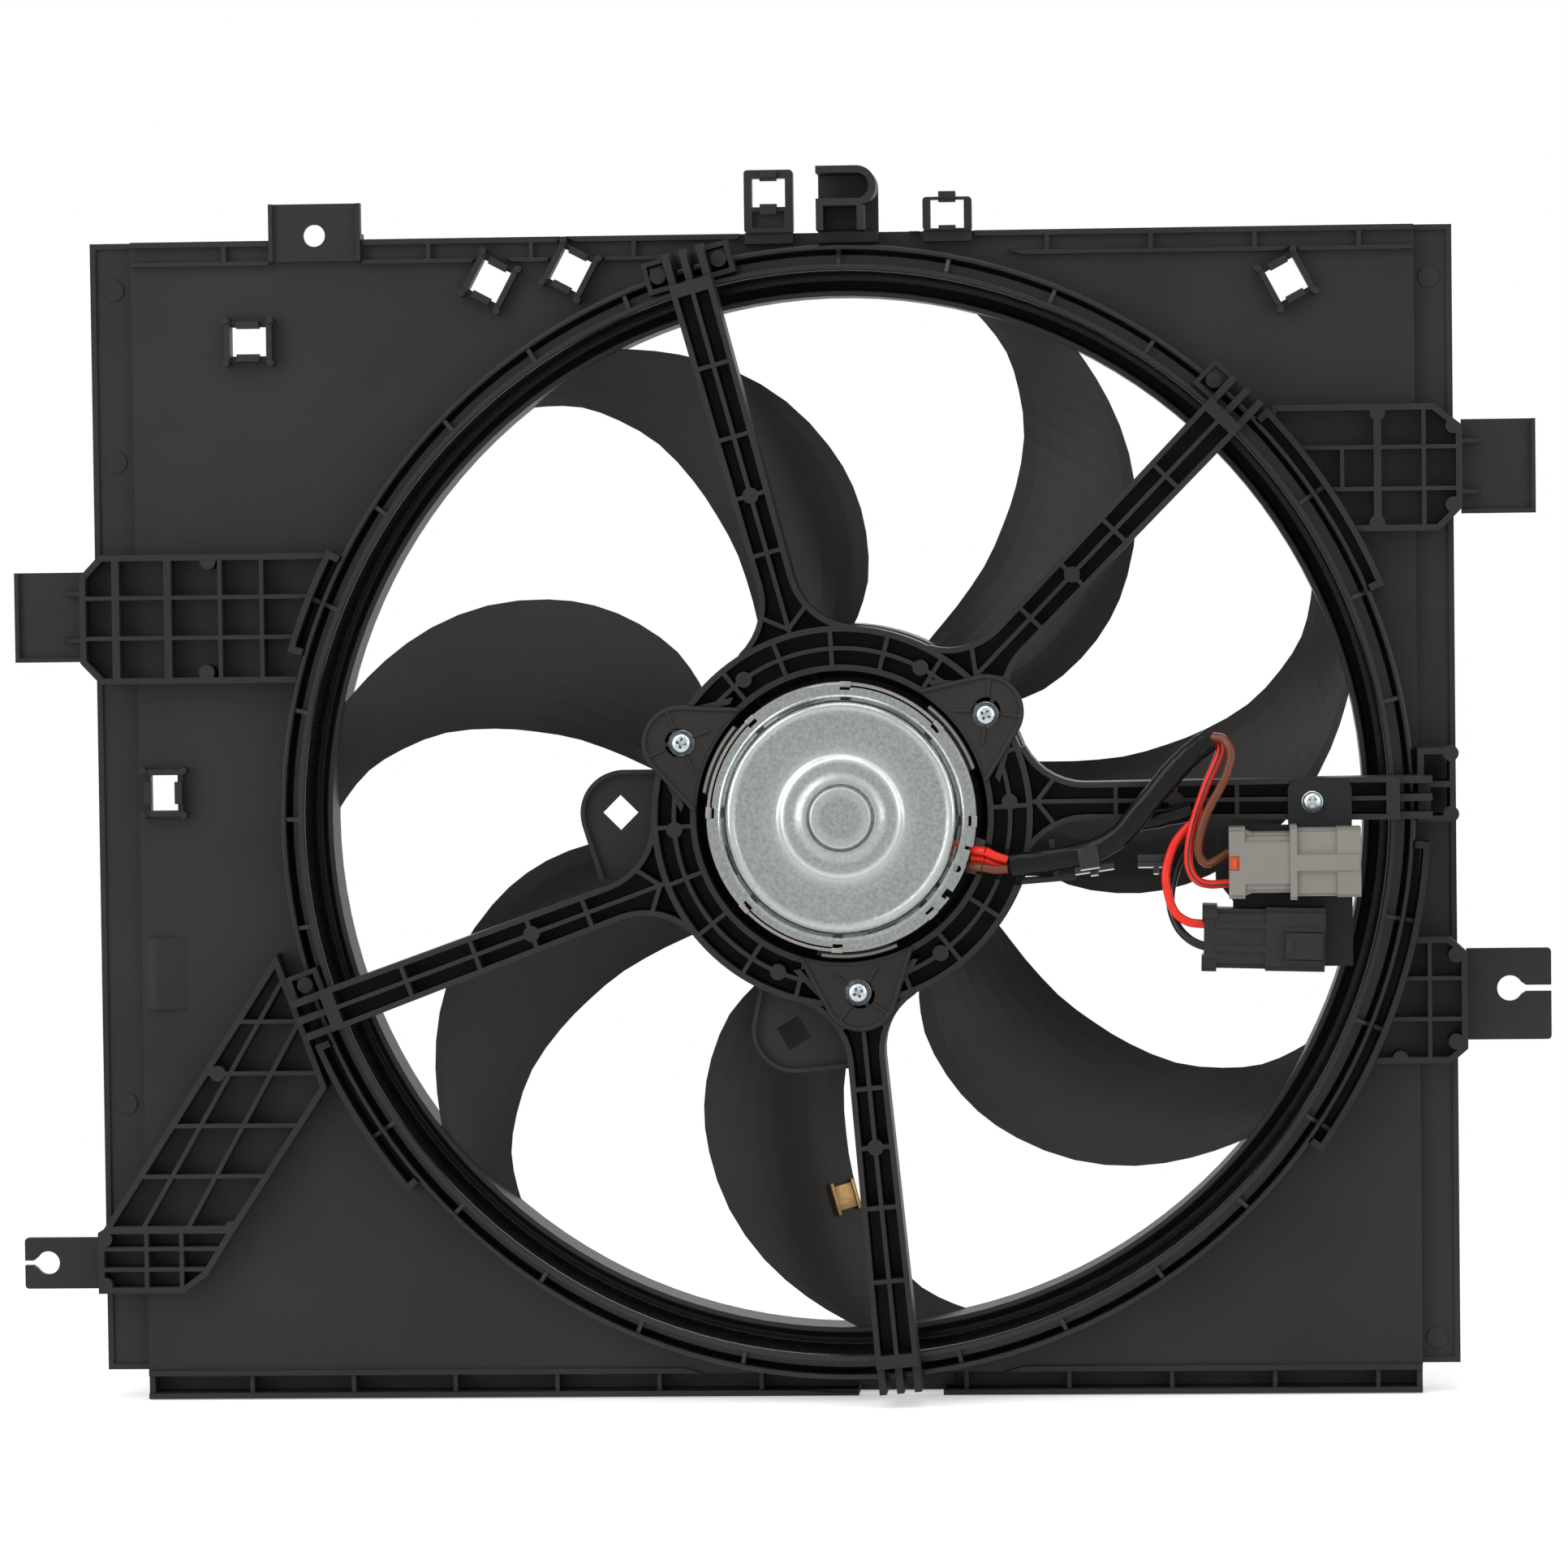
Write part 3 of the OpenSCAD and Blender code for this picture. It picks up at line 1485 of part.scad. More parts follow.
module bearings() {
  color(steel) {
    turned(band(shaft_r + 0.05, boss_r - 1.4, -can_front - cap_rise - 1, -can_front - cap_rise + 6));
    turned(band(shaft_r + 0.05, 11, can_back - 7, can_back));
    // Seat ring that joins the rear bearing to the can's end
    turned(band(11, 15, can_back - 5, can_back - can_t));
  }
}

module brush_holder() {
  // Moulded card behind the cap with two brush boxes
  f = -can_front + 1.6;
  color([0.3, 0.26, 0.22]) {
    slab(f, f + 2)
      difference() {
        circle(can_r - can_t);
        circle(17);
      }
    slab(f + 1.9, f + 9)
      for (s = [0, 180])
        rotate(s + 20)
          difference() {
            patch(17, -5.5, 34, 5.5);
            patch(16, -3.5, 35, 3.5);
          }
  }
}

module brushes() {
  f = -can_front + 1.6;
  color([0.12, 0.12, 0.13])
    slab(f + 2.1, f + 8.6)
      for (s = [0, 180])
        rotate(s + 20)
          patch(13.4, -3.3, 27, 3.3);
}

module lead_grommet() {
  // Rubber block where the leads come out beside the motor's rim
  color([0.09, 0.09, 0.09])
    slab(-carrier_front - 3.5, -carrier_front + 8)
      rotate(-17)
        intersection() {
          patch(rim_r - 1.1, -7.5, hub_in + 0.2, 7.5);
          annulus(rim_r + 1.4, hub_in);
        }
}

module motor_screws() {
  color([0.6, 0.66, 0.72])
    for (k = [0 : 2])
      rotate([0, -screw_angle - 120 * k, 0])
        translate([screw_r, 0, 0])
          screw(carrier_front, 2.4, 30, 5.2, 4);
}

// A pan-head screw with a washer face and a cross recess, entering toward +Y
module screw(face, shank, length, washer, head) {
  difference() {
    union() {
      axle(washer, -face - 1, -face);
      axle(head, -face - 3, -face - 0.9);
      axle(head - 0.8, -face - 3.7, -face - 2.9);
      axle(shank, -face - 0.1, -face + length - 2);
      axle(shank - 0.6, -face + length - 2.1, -face + length);
    }
    slab(-face - 4, -face - 1.8) {
      square([4, 0.9], center = true);
      square([0.9, 4], center = true);
    }
  }
}

module plug_bracket() {
  // Folded steel plate on the level arm that carries both plugs
  right = 208.8;
  top = 13.1;
  neck = 182.8;
  corner = 4;
  left = grey_x - 5.4;
  low_left = grey_x + 1.6;
  color([0.12, 0.12, 0.125])
    difference() {
      slab(-carrier_front - 2, -carrier_front) {
        for (x = [neck + corner, right - corner])
          translate([x, top - corner])
            circle(corner);
        patch(neck + corner, grey_top, right - corner, top);
        patch(neck, grey_top - 1, right, top - corner);
        patch(low_left, -63, right, grey_top + 0.2);
        // Wider beside the grey plug
        polygon([[low_left + 1, -8], [left, -8], [left, -27], [low_left, -36], [low_left + 1, -36]]);
      }
      slab(-carrier_front - 3, -carrier_front + 1)
        translate([plate_screw_x, plate_screw_z])
          circle(2.6);
    }
}

module plug_bracket_screw() {
  color([0.6, 0.66, 0.72])
    translate([plate_screw_x, 0, plate_screw_z])
      screw(carrier_front + 2, 2, 18, 5, 4);
}

// A block between two corners with its front edges cut back
module block(x0, z0, x1, z1, front, back, cut) {
  slab(front + cut, back)
    patch(x0, z0, x1, z1);
  slab(front, front + cut + 0.1)
    patch(x0, z0 + cut, x1, z1 - cut);
}

module grey_plug() {
  x0 = grey_x;
  x1 = grey_x + grey_len;
  zt = grey_top;
  zb = grey_top - grey_h;
  f = -plug_back - grey_deep;
  zm = (zt + zb) / 2;
  color([0.56, 0.55, 0.52])
    difference() {
      union() {
        block(x0, zb, x0 + 6.5, zt, f + 1, -plug_back, 1.5);
        slab(f + 3, -plug_back)
          polygon([[x0 + 6, zb + 1], [x0 + 9.5, zb + 2.4], [x0 + 9.5, zt - 2.4], [x0 + 6, zt - 1]]);
        block(x0 + 6, zb + 2.3, x0 + 25.5, zt - 2.3, f + 2, -plug_back, 1.5);
        block(x0 + 24.8, zb - 0.6, x0 + 27.6, zt + 0.6, f, -plug_back, 1.2);
        block(x0 + 27, zb + 0.8, x1, zt - 0.8, f + 1.6, -plug_back, 1.2);
        block(x0 + 43.8, zb + 0.4, x1, zt - 0.4, f + 0.6, -plug_back, 1);
        block(x0 + 27, zm - 4.3, x1 - 0.5, zm + 4.3, f, -plug_back - 2, 1);
        // Raised panel near the wire end
        block(x0 + 6, zm - 9, x0 + 25.5, zm + 9, f + 1, -plug_back, 0.5);
      }
      // Mating cavity at the free end
      slab(f + 4, -plug_back - 3)
        patch(x1 - 16, zb + 4, x1 + 1, zt - 4);
      // Pocket for the lock
      slab(f - 1, f + 8)
        patch(x0 - 1, zm - 2.9, x0 + 4.1, zm + 2.9);
      // Entries of the two leads
      for (p = [[-54.8, -15.8], [-55, -28.2]])
        translate([x0 - 1, p[0], p[1]])
          rotate([0, 90, 0])
            cylinder(r = wire_r + entry_gap, h = entry_deep + 1);
    }
}

module grey_lock() {
  zm = grey_top - grey_h / 2;
  f = -plug_back - grey_deep;
  color([0.76, 0.26, 0.1]) {
    slab(f + 1.5, f + 8)
      patch(grey_x + 0.4, zm - 2.8, grey_x + 4, zm + 2.8);
    slab(f + 0.5, f + 1.6)
      patch(grey_x + 1.4, zm - 1.6, grey_x + 3, zm + 1.6);
  }
}

module grey_pins() {
  x1 = grey_x + grey_len;
  zm = grey_top - grey_h / 2;
  f = -plug_back - grey_deep / 2;
  color([0.75, 0.72, 0.6])
    for (s = [-1, 1])
      slab(f - 0.6, f + 0.6)
        translate([x1 - 16, zm + s * 5])
          polygon([[0, -2.2], [11, -2.2], [12.5, -1], [12.5, 1], [11, 2.2], [0, 2.2]]);
}

// Children in the black plug's own tilted place
module black_place() {
  translate([black_x, 0, black_top])
    rotate([0, black_tilt, 0])
      children();
}

module black_plug() {
  f = -plug_back - black_deep;
  h = black_h;
  color([0.14, 0.14, 0.145])
    black_place()
      difference() {
        union() {
          block(0.8, -h + 2, 6, -2, f + 1.6, -plug_back, 1.5);
          block(0, -7, 6, 0, f + 1, -plug_back, 1.5);
          block(0, -h, 6, -h + 6.2, f + 1, -plug_back, 1.5);
          block(5.5, -h + 1.4, 26.4, -1.4, f + 1.5, -plug_back, 2);
          block(25.8, -h + 0.6, black_len, -0.6, f + 0.6, -plug_back, 2);
          block(5.5, -h * 0.72, 25.8, -h * 0.58, f + 0.6, -plug_back, 0.6);
          block(5.5, -h * 0.36, 25.8, -h * 0.24, f + 0.6, -plug_back, 0.6);
          // Rails beside the latch
          slab(f - 0.4, f + 3) {
            patch(33, -h * 0.38, black_len - 0.5, -h * 0.32);
            patch(33, -h * 0.86, black_len - 0.5, -h * 0.8);
          }
        }
        slab(f + 4, -plug_back - 3)
          patch(black_len - 15, -h + 4, black_len + 1, -4);
        // Entries of the two leads
        for (z = [-8, -16.9])
          translate([-1, -56.9, z])
            rotate([0, 90, 0])
              cylinder(r = wire_r + entry_gap, h = entry_deep + 1);
      }
}

module black_latch() {
  f = -plug_back - black_deep;
  h = black_h;
  color([0.11, 0.11, 0.115])
    black_place() {
      slab(f - 1.6, f + 0.6)
        patch(34, -h * 0.79, black_len - 1, -h * 0.39);
      slab(f - 2.4, f - 1.5)
        patch(34, -h * 0.7, 37, -h * 0.48);
    }
}

module black_pins() {
  f = -plug_back - black_deep / 2;
  color([0.75, 0.72, 0.6])
    black_place()
      for (s = [0.34, 0.66])
        slab(f - 0.6, f + 0.6)
          translate([black_len - 15, -black_h * s])
            polygon([[0, -2], [10, -2], [11.5, -0.9], [11.5, 0.9], [10, 2], [0, 2]]);
}

// Ring of points round a route at one place
function route_ring(p, dir, r, sides) =
  let (side = cross(dir, [0, 1, 0]))
  let (n = side / norm(side))
  let (b = cross(dir, n))
  [for (k = [0 : sides - 1]) p + r * (cos(k * 360 / sides) * n - sin(k * 360 / sides) * b)];

function unit(v) = v / norm(v);

// A cord of radius r through smoothed route points
module cord(route, r, sides, steps) {
  pts = smooth(route, steps);
  last = len(pts) - 1;
  skin([
    for (i = [0 : last])
      route_ring(pts[i], unit(pts[min(i + 1, last)] - pts[max(i - 1, 0)]), r, sides)
  ]);
}

module sleeve_long() {
  color([0.07, 0.07, 0.07])
    cord(sleeve_route, sleeve_r, 12, 2);
}

module sleeve_short() {
  color([0.07, 0.07, 0.07])
    cord(sleeve2_route, sleeve_r - 0.3, 12, 2);
}

module wire_brown() {
  color([0.4, 0.22, 0.16])
    cord(brown_route, wire_r, 8, 2);
}

module wire_red_upper() {
  color([0.85, 0.16, 0.12])
    cord(red_upper_route, wire_r, 8, 2);
}

module wire_red_lower() {
  color([0.85, 0.16, 0.12])
    cord(red_lower_route, wire_r, 8, 2);
}

module wire_black() {
  color([0.08, 0.08, 0.08])
    cord(black_route, wire_r, 8, 2);
}

module motor_leads() {
  // Three short leads between the grommet and the sleeve
  color([0.8, 0.18, 0.14]) {
    cord([[59.2, -48.6, -14.6], [63.4, -49, -16.6], [68, -49.2, -18.2]], wire_r, 8, 2);
    cord([[58.9, -45.7, -18.2], [63, -46.6, -20.4], [68.3, -47.2, -22]], wire_r, 8, 2);
    cord([[58, -49.2, -21.2], [62.6, -50.4, -22], [68.2, -51.4, -21.8]], wire_r, 8, 2);
  }
}

shroud_sheet();
shroud_duct();
duct_braces();
top_bolt_tab();
harness_windows();
top_loops();
top_hook();
bracket_left_upper();
bracket_right_upper();
bracket_right_lower();
bracket_left_lower();
tab_left_upper();
tab_right_upper();
tab_right_keyhole();
tab_left_keyhole();
carrier_ring();
arm_top();
arm_upper_right();
arm_level();
arm_bottom();
arm_left();
carrier_tabs();
sleeve_tray();
harness_clip();
fan_hub();
fan_blades();
fan_ring();
fan_insert();
fan_nut();
balance_clip();
motor_shaft();
armature();
windings();
commutator();
motor_can();
motor_cap();
crimp_ring();
motor_flange();
magnets();
bearings();
brush_holder();
brushes();
lead_grommet();
motor_screws();
plug_bracket();
plug_bracket_screw();
grey_plug();
grey_lock();
grey_pins();
black_plug();
black_latch();
black_pins();
sleeve_long();
sleeve_short();
wire_brown();
wire_red_upper();
wire_red_lower();
wire_black();
motor_leads();
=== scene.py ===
import math

import bpy
from mathutils import Matrix, Vector


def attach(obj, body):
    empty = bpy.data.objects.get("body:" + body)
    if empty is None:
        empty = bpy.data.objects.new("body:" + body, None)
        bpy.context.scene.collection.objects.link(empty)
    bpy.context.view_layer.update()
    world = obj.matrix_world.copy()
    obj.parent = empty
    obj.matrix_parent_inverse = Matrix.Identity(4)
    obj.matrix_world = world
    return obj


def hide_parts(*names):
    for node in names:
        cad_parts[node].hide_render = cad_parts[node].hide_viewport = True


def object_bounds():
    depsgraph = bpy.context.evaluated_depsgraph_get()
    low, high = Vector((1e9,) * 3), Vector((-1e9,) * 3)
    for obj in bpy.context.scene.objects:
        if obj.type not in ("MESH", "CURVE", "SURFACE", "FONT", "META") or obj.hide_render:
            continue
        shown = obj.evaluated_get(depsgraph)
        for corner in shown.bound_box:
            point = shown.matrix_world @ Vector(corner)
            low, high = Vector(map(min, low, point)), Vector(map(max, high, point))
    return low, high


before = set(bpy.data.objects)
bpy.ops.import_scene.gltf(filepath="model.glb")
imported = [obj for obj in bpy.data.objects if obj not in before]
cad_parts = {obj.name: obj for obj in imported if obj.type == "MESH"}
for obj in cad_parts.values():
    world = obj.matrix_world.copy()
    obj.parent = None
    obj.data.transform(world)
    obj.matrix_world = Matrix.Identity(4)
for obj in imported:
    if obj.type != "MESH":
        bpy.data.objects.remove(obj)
cad_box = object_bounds()

# Camera. It stands on the engine side, a little above the axis and a little to the right,
# and is turned slightly about its own line of sight.
photo_px, focal_px, shift_px, stand_off = 1932, 7670, (-78, 35), 2.6
yaw, pitch, roll = math.radians(3.0), math.radians(2.3), math.radians(0.7)
toward_camera = Vector((
    math.sin(yaw) * math.cos(pitch), -math.cos(yaw) * math.cos(pitch), math.sin(pitch)))
right = Vector((math.cos(yaw), math.sin(yaw), 0))
up = toward_camera.cross(right)
view_x = right * math.cos(roll) - up * math.sin(roll)
view_y = up * math.cos(roll) + right * math.sin(roll)
aim = Matrix((view_x, view_y, toward_camera)).transposed().to_4x4()
lens = bpy.data.cameras.new("camera")
lens.sensor_width = 36
lens.lens = focal_px / photo_px * lens.sensor_width
lens.shift_x, lens.shift_y = (px / photo_px for px in shift_px)
lens.clip_end = 20
camera = bpy.data.objects.new("camera", lens)
camera.matrix_world = Matrix.Translation(toward_camera * stand_off) @ aim
bpy.context.scene.collection.objects.link(camera)
bpy.context.scene.camera = camera
bpy.context.scene.view_settings.view_transform = "Standard"


# Leads from the motor. Stranded copper in soft vinyl, brought out under the edge of the cap
# over a low rubber grommet and into the black sleeve; they only show between the two.
def hold(*pieces):
    """Selects these pieces alone; the first one becomes active."""
    bpy.ops.object.select_all(action="DESELECT")
    for piece in pieces:
        piece.select_set(True)
    bpy.context.view_layer.objects.active = pieces[0]


def as_mesh(name, curve):
    """A curve turned into a mesh piece of that name."""
    drawn = bpy.data.objects.new(name, curve)
    bpy.context.scene.collection.objects.link(drawn)
    hold(drawn)
    bpy.ops.object.convert(target="MESH")
    made = bpy.context.view_layer.objects.active
    made.name = name
    return made


def smooth_route(points, steps=8):
    """Points in millimetres smoothed as the source smooths them, in metres."""
    p = [Vector(q) / 1000 for q in points]
    p = [p[0] * 2 - p[1]] + p + [p[-1] * 2 - p[-2]]
    out = []
    for a, b, c, d in zip(p, p[1:], p[2:], p[3:]):
        for k in range(steps):
            t = k / steps
            bend = (2 * a - 5 * b + 4 * c - d) * t * t + (3 * b - a - 3 * c + d) * t ** 3
            out.append(0.5 * (2 * b + (c - a) * t + bend))
    return out + [p[-2]]


def lay_cord(name, route, radius, steps=8):
    """A round cord along its route, both in millimetres, with its place in its vertices."""
    curve = bpy.data.curves.new(name, "CURVE")
    curve.dimensions = "3D"
    points = smooth_route(route, steps)
    line = curve.splines.new("POLY")
    line.points.add(len(points) - 1)
    for spot, p in zip(line.points, points):
        spot.co = (*p, 1)
    curve.bevel_depth = radius / 1000
    curve.bevel_resolution = 5
    curve.use_fill_caps = True
    cord = as_mesh(name, curve)
    for face in cord.data.polygons:
        face.use_smooth = True
    return cord


def node(tree, kind, inputs=None, **settings):
    """One shader node with its settings and constant inputs."""
    made = tree.nodes.new(kind)
    for key, value in settings.items():
        setattr(made, key, value)
    for key, value in (inputs or {}).items():
        made.inputs[key].default_value = value
    return made


def link(tree, *pairs):
    """Links each output to its input."""
    for output, into in pairs:
        tree.links.new(output, into)


def finish_of(name, low, high, rough, grain, depth,
              metal=0.0, cloud=14.0, specular=0.5, edge=0.0):
    """A finish whose tone drifts between two colours, with a fine grain in roughness and relief.
    grain and cloud are in spots per metre, depth is the relief in metres, and edge is the
    radius in metres by which sharp corners look rounded."""
    mat = bpy.data.materials.new(name)
    mat.use_nodes = True
    tree = mat.node_tree
    shader = tree.nodes["Principled BSDF"]
    shader.inputs["Metallic"].default_value = metal
    shader.inputs["Specular IOR Level"].default_value = specular
    place = node(tree, "ShaderNodeTexCoord").outputs["Object"]
    drift = node(tree, "ShaderNodeTexNoise", {"Scale": cloud, "Detail": 4.0})
    fine = node(tree, "ShaderNodeTexNoise", {"Scale": grain, "Detail": 2.0})
    tone = node(tree, "ShaderNodeValToRGB")
    for stop, position, colour in zip(tone.color_ramp.elements, (0.3, 0.7), (low, high)):
        stop.position, stop.color = position, (*colour, 1)
    gloss = node(tree, "ShaderNodeMapRange", {
        "From Min": 0.3, "From Max": 0.7, "To Min": rough[0], "To Max": rough[1]})
    relief = node(tree, "ShaderNodeBump", {"Strength": 1.0, "Distance": depth})
    link(tree,
         (place, drift.inputs["Vector"]), (place, fine.inputs["Vector"]),
         (drift.outputs[0], tone.inputs[0]), (fine.outputs[0], gloss.inputs["Value"]),
         (fine.outputs[0], relief.inputs["Height"]), (tone.outputs[0], shader.inputs["Base Color"]),
         (gloss.outputs[0], shader.inputs["Roughness"]), (relief.outputs[0], shader.inputs["Normal"]))
    if edge:
        rounded = node(tree, "ShaderNodeBevel", {"Radius": edge}, samples=4)
        link(tree, (rounded.outputs[0], relief.inputs["Normal"]))
    return mat


red_vinyl = finish_of(
    "red_vinyl", (0.6, 0.02, 0.012), (0.74, 0.034, 0.018), (0.1, 0.18), 900, 0.00002, specular=0.2)
brown_vinyl = finish_of(
    "brown_vinyl", (0.1, 0.03, 0.014), (0.15, 0.048, 0.022), (0.1, 0.18), 900, 0.00002, specular=0.2)
wire_r = 1.8
under_cap_y = -44.4
for count, (finish, route) in enumerate((
    (red_vinyl, [[59.2, -48.6, -14.6], [63.4, -49, -16.6], [68, -49.2, -18.2]]),
    (red_vinyl, [[58.9, -45.7, -18.2], [63, -46.6, -20.4], [68.3, -47.2, -22]]),
    (brown_vinyl, [[58, -49.2, -21.2], [62.6, -50.4, -22], [68.2, -51.4, -21.8]]),
), 1):
    lead = lay_cord(f"motor_lead_{count}", route, wire_r)
    lead.data.materials.append(finish)
    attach(lead, "shroud")
    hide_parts("motor_leads")
    x, y, z = route[0]
    rise = [[x - 6.2, under_cap_y, z + 0.8], [x - 3, y + 1.6, z + 0.3], route[0]]
    root = lay_cord(f"lead_root_{count}", rise, wire_r)
    root.data.materials.append(finish)
    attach(root, "shroud")
    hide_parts("lead_grommet")


# Leads to the plugs. The same cord, looped down from the ends of the sleeves to the backs of
# the plugs, where each ends in a crimped terminal inside. One carries a printed line.
def print_line(cord, ink, place):
    """A line of one face's width printed along a cord; place is a share of the way round it."""
    half_face = 0.036
    cord.data.materials.append(ink)
    uvs = cord.data.uv_layers[0].data
    for face in cord.data.polygons:
        way_round = sum(uvs[i].uv[1] for i in face.loop_indices) / len(face.vertices)
        if len(face.vertices) == 4 and abs(way_round - place) < half_face:
            face.material_index = 1


line_ink = finish_of(
    "line_ink", (0.03, 0.006, 0.006), (0.05, 0.01, 0.009), (0.25, 0.35), 900, 0.00002)
black_vinyl = finish_of(
    "black_vinyl", (0.009, 0.009, 0.009), (0.015, 0.0145, 0.014), (0.1, 0.18), 900, 0.00002,
    specular=0.25)
for name, slot, finish, route in (
    ("wire_brown", "wire_brown", brown_vinyl, [
        [152.4, -54.6, 31.6], [156.8, -57, 30.4], [159.7, -60, 24.3], [156.6, -62, 13.8],
        [149.6, -62, 1], [146.4, -61, -9.5], [146.2, -59.6, -16.2], [149.4, -58, -19.9],
        [153.8, -56.3, -18.4], [157.8, -55, -16], [160.8, -54.8, -15.7]]),
    ("wire_red_upper", "wire_red", red_vinyl, [
        [153.6, -50.4, 31.4], [155, -53, 25], [149.5, -57, 12], [144.6, -58, -1.9],
        [142.2, -57.5, -13], [142.3, -57, -21.5], [145.5, -56.4, -26.9], [150.6, -55.6, -28.6],
        [157, -55, -28.3], [160.8, -55, -28.2]]),
    ("wire_red_lower", "wire_red", red_vinyl, [
        [145, -50.9, 1.8], [147, -52.8, -1], [141.5, -54, -5.5], [136, -54, -12.5],
        [132.9, -54, -22.5], [133.1, -54.6, -30.4], [136, -55.6, -39.4], [141.2, -56.6, -43.6],
        [147, -57, -44.6], [149.9, -57, -44.7]]),
    ("wire_black", "wire_black", black_vinyl, [
        [145, -46.8, 0.8], [147.4, -48.2, -3], [143.5, -49.3, -10], [138, -49.6, -20],
        [134.9, -50, -30], [134.7, -51, -38.4], [137.4, -53, -46], [141.8, -55, -50.8],
        [146.6, -56.6, -53.3], [149.6, -56.8, -53.6]]),
):
    wire = lay_cord("lead_to_" + name, route, wire_r)
    wire.data.materials.append(finish)
    if name == "wire_red_upper":
        print_line(wire, line_ink, 0.25)
    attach(wire, "shroud")
    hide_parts(name)

# Sleeves. Smooth black vinyl tube slipped over the leads, held by the snap clip on the arm;
# it lies flat and wrinkles faintly where it bends.
sleeve_vinyl = finish_of(
    "sleeve_vinyl", (0.004, 0.004, 0.004), (0.007, 0.007, 0.007), (0.1, 0.18), 260, 0.00006,
    specular=0.16)
crease_depth, crease_x, crease_z = 0.05, 620, 900
for name, radius, wide, thin, route in (
    ("sleeve_long", 3.5, 1.4, 0.95, [
        [69.6, -49.3, -20.6], [84, -50.5, -18.6], [101, -52, -15.4], [114, -54, -8.5],
        [124, -55, 3], [135, -55, 16], [144, -54, 25], [151, -53, 30]]),
    ("sleeve_short", 3.2, 1.25, 0.95, [[121, -47.8, -3.4], [133, -48, -1.2], [143.5, -48.5, 0.8]]),
):
    tube = lay_cord("tube_" + name, route, radius)
    middle = smooth_route(route)
    for v in tube.data.vertices:
        c = min(middle, key=lambda m: (m - v.co).length_squared)
        crease = 1 + crease_depth * math.sin(c.x * crease_x) * math.sin(c.z * crease_z)
        v.co = c + Vector((
            (v.co.x - c.x) * wide * crease, (v.co.y - c.y) * thin, (v.co.z - c.z) * wide * crease))
    tube.data.materials.append(sleeve_vinyl)
    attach(tube, "shroud")
    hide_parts(name)

# Studio. A pale floor that the part stands over, a white surround for the camera and for
# reflections, and a ring of soft lamps at a plain level, so that each round edge gets its light.
floor_size, floor_gap = 9, 0.0005
bpy.ops.object.select_all(action="DESELECT")
bpy.ops.mesh.primitive_plane_add(size=floor_size, location=(0, 0, cad_box[0].z - floor_gap))
floor = bpy.context.active_object
floor.name = "floor"
paper = bpy.data.materials.new("paper")
paper.use_nodes = True
sheet_tree = paper.node_tree
paper_shader = sheet_tree.nodes["Principled BSDF"]
paper_shader.inputs["Base Color"].default_value = (0.9, 0.9, 0.9, 1)
paper_shader.inputs["Roughness"].default_value = 0.9
paper_shader.inputs["Emission Color"].default_value = (1, 1, 1, 1)
paper_shader.inputs["Emission Strength"].default_value = 0.45
spread = node(sheet_tree, "ShaderNodeTexCoord")
away = node(sheet_tree, "ShaderNodeVectorMath", operation="LENGTH")
fade = node(sheet_tree, "ShaderNodeMapRange", {"From Min": 0.35, "From Max": 0.9})
floor_ray = node(sheet_tree, "ShaderNodeLightPath")
seen_through = node(sheet_tree, "ShaderNodeMath", operation="MAXIMUM")
seen_at_all = node(sheet_tree, "ShaderNodeMath", operation="MAXIMUM")
share = node(sheet_tree, "ShaderNodeMath", operation="MULTIPLY")
white = node(sheet_tree, "ShaderNodeEmission", {"Color": (1, 1, 1, 1), "Strength": 1.0})
blend = node(sheet_tree, "ShaderNodeMixShader")
link(sheet_tree,
     (spread.outputs["Object"], away.inputs[0]), (away.outputs["Value"], fade.inputs["Value"]),
     (floor_ray.outputs["Is Camera Ray"], seen_through.inputs[0]),
     (floor_ray.outputs["Is Transmission Ray"], seen_through.inputs[1]),
     (seen_through.outputs[0], seen_at_all.inputs[0]),
     (floor_ray.outputs["Is Glossy Ray"], seen_at_all.inputs[1]),
     (fade.outputs[0], share.inputs[0]), (seen_at_all.outputs[0], share.inputs[1]),
     (share.outputs[0], blend.inputs[0]), (paper_shader.outputs[0], blend.inputs[1]),
     (white.outputs[0], blend.inputs[2]),
     (blend.outputs[0], sheet_tree.nodes["Material Output"].inputs["Surface"]))
floor.data.materials.append(paper)

world = bpy.data.worlds.new("surround")
bpy.context.scene.world = world
world.use_nodes = True
air = world.node_tree
backdrop = air.nodes["Background"]
backdrop.inputs["Color"].default_value = (1, 1, 1, 1)
ray = node(air, "ShaderNodeLightPath")
seen = node(air, "ShaderNodeMath", operation="MAXIMUM")
mirrored = node(air, "ShaderNodeMath", operation="MAXIMUM")
level = node(air, "ShaderNodeMapRange", {"To Min": 0.42, "To Max": 1.0})
link(air,
     (ray.outputs["Is Camera Ray"], seen.inputs[0]),
     (ray.outputs["Is Transmission Ray"], seen.inputs[1]),
     (seen.outputs[0], mirrored.inputs[0]), (ray.outputs["Is Glossy Ray"], mirrored.inputs[1]),
     (mirrored.outputs[0], level.inputs["Value"]), (level.outputs[0], backdrop.inputs["Strength"]))

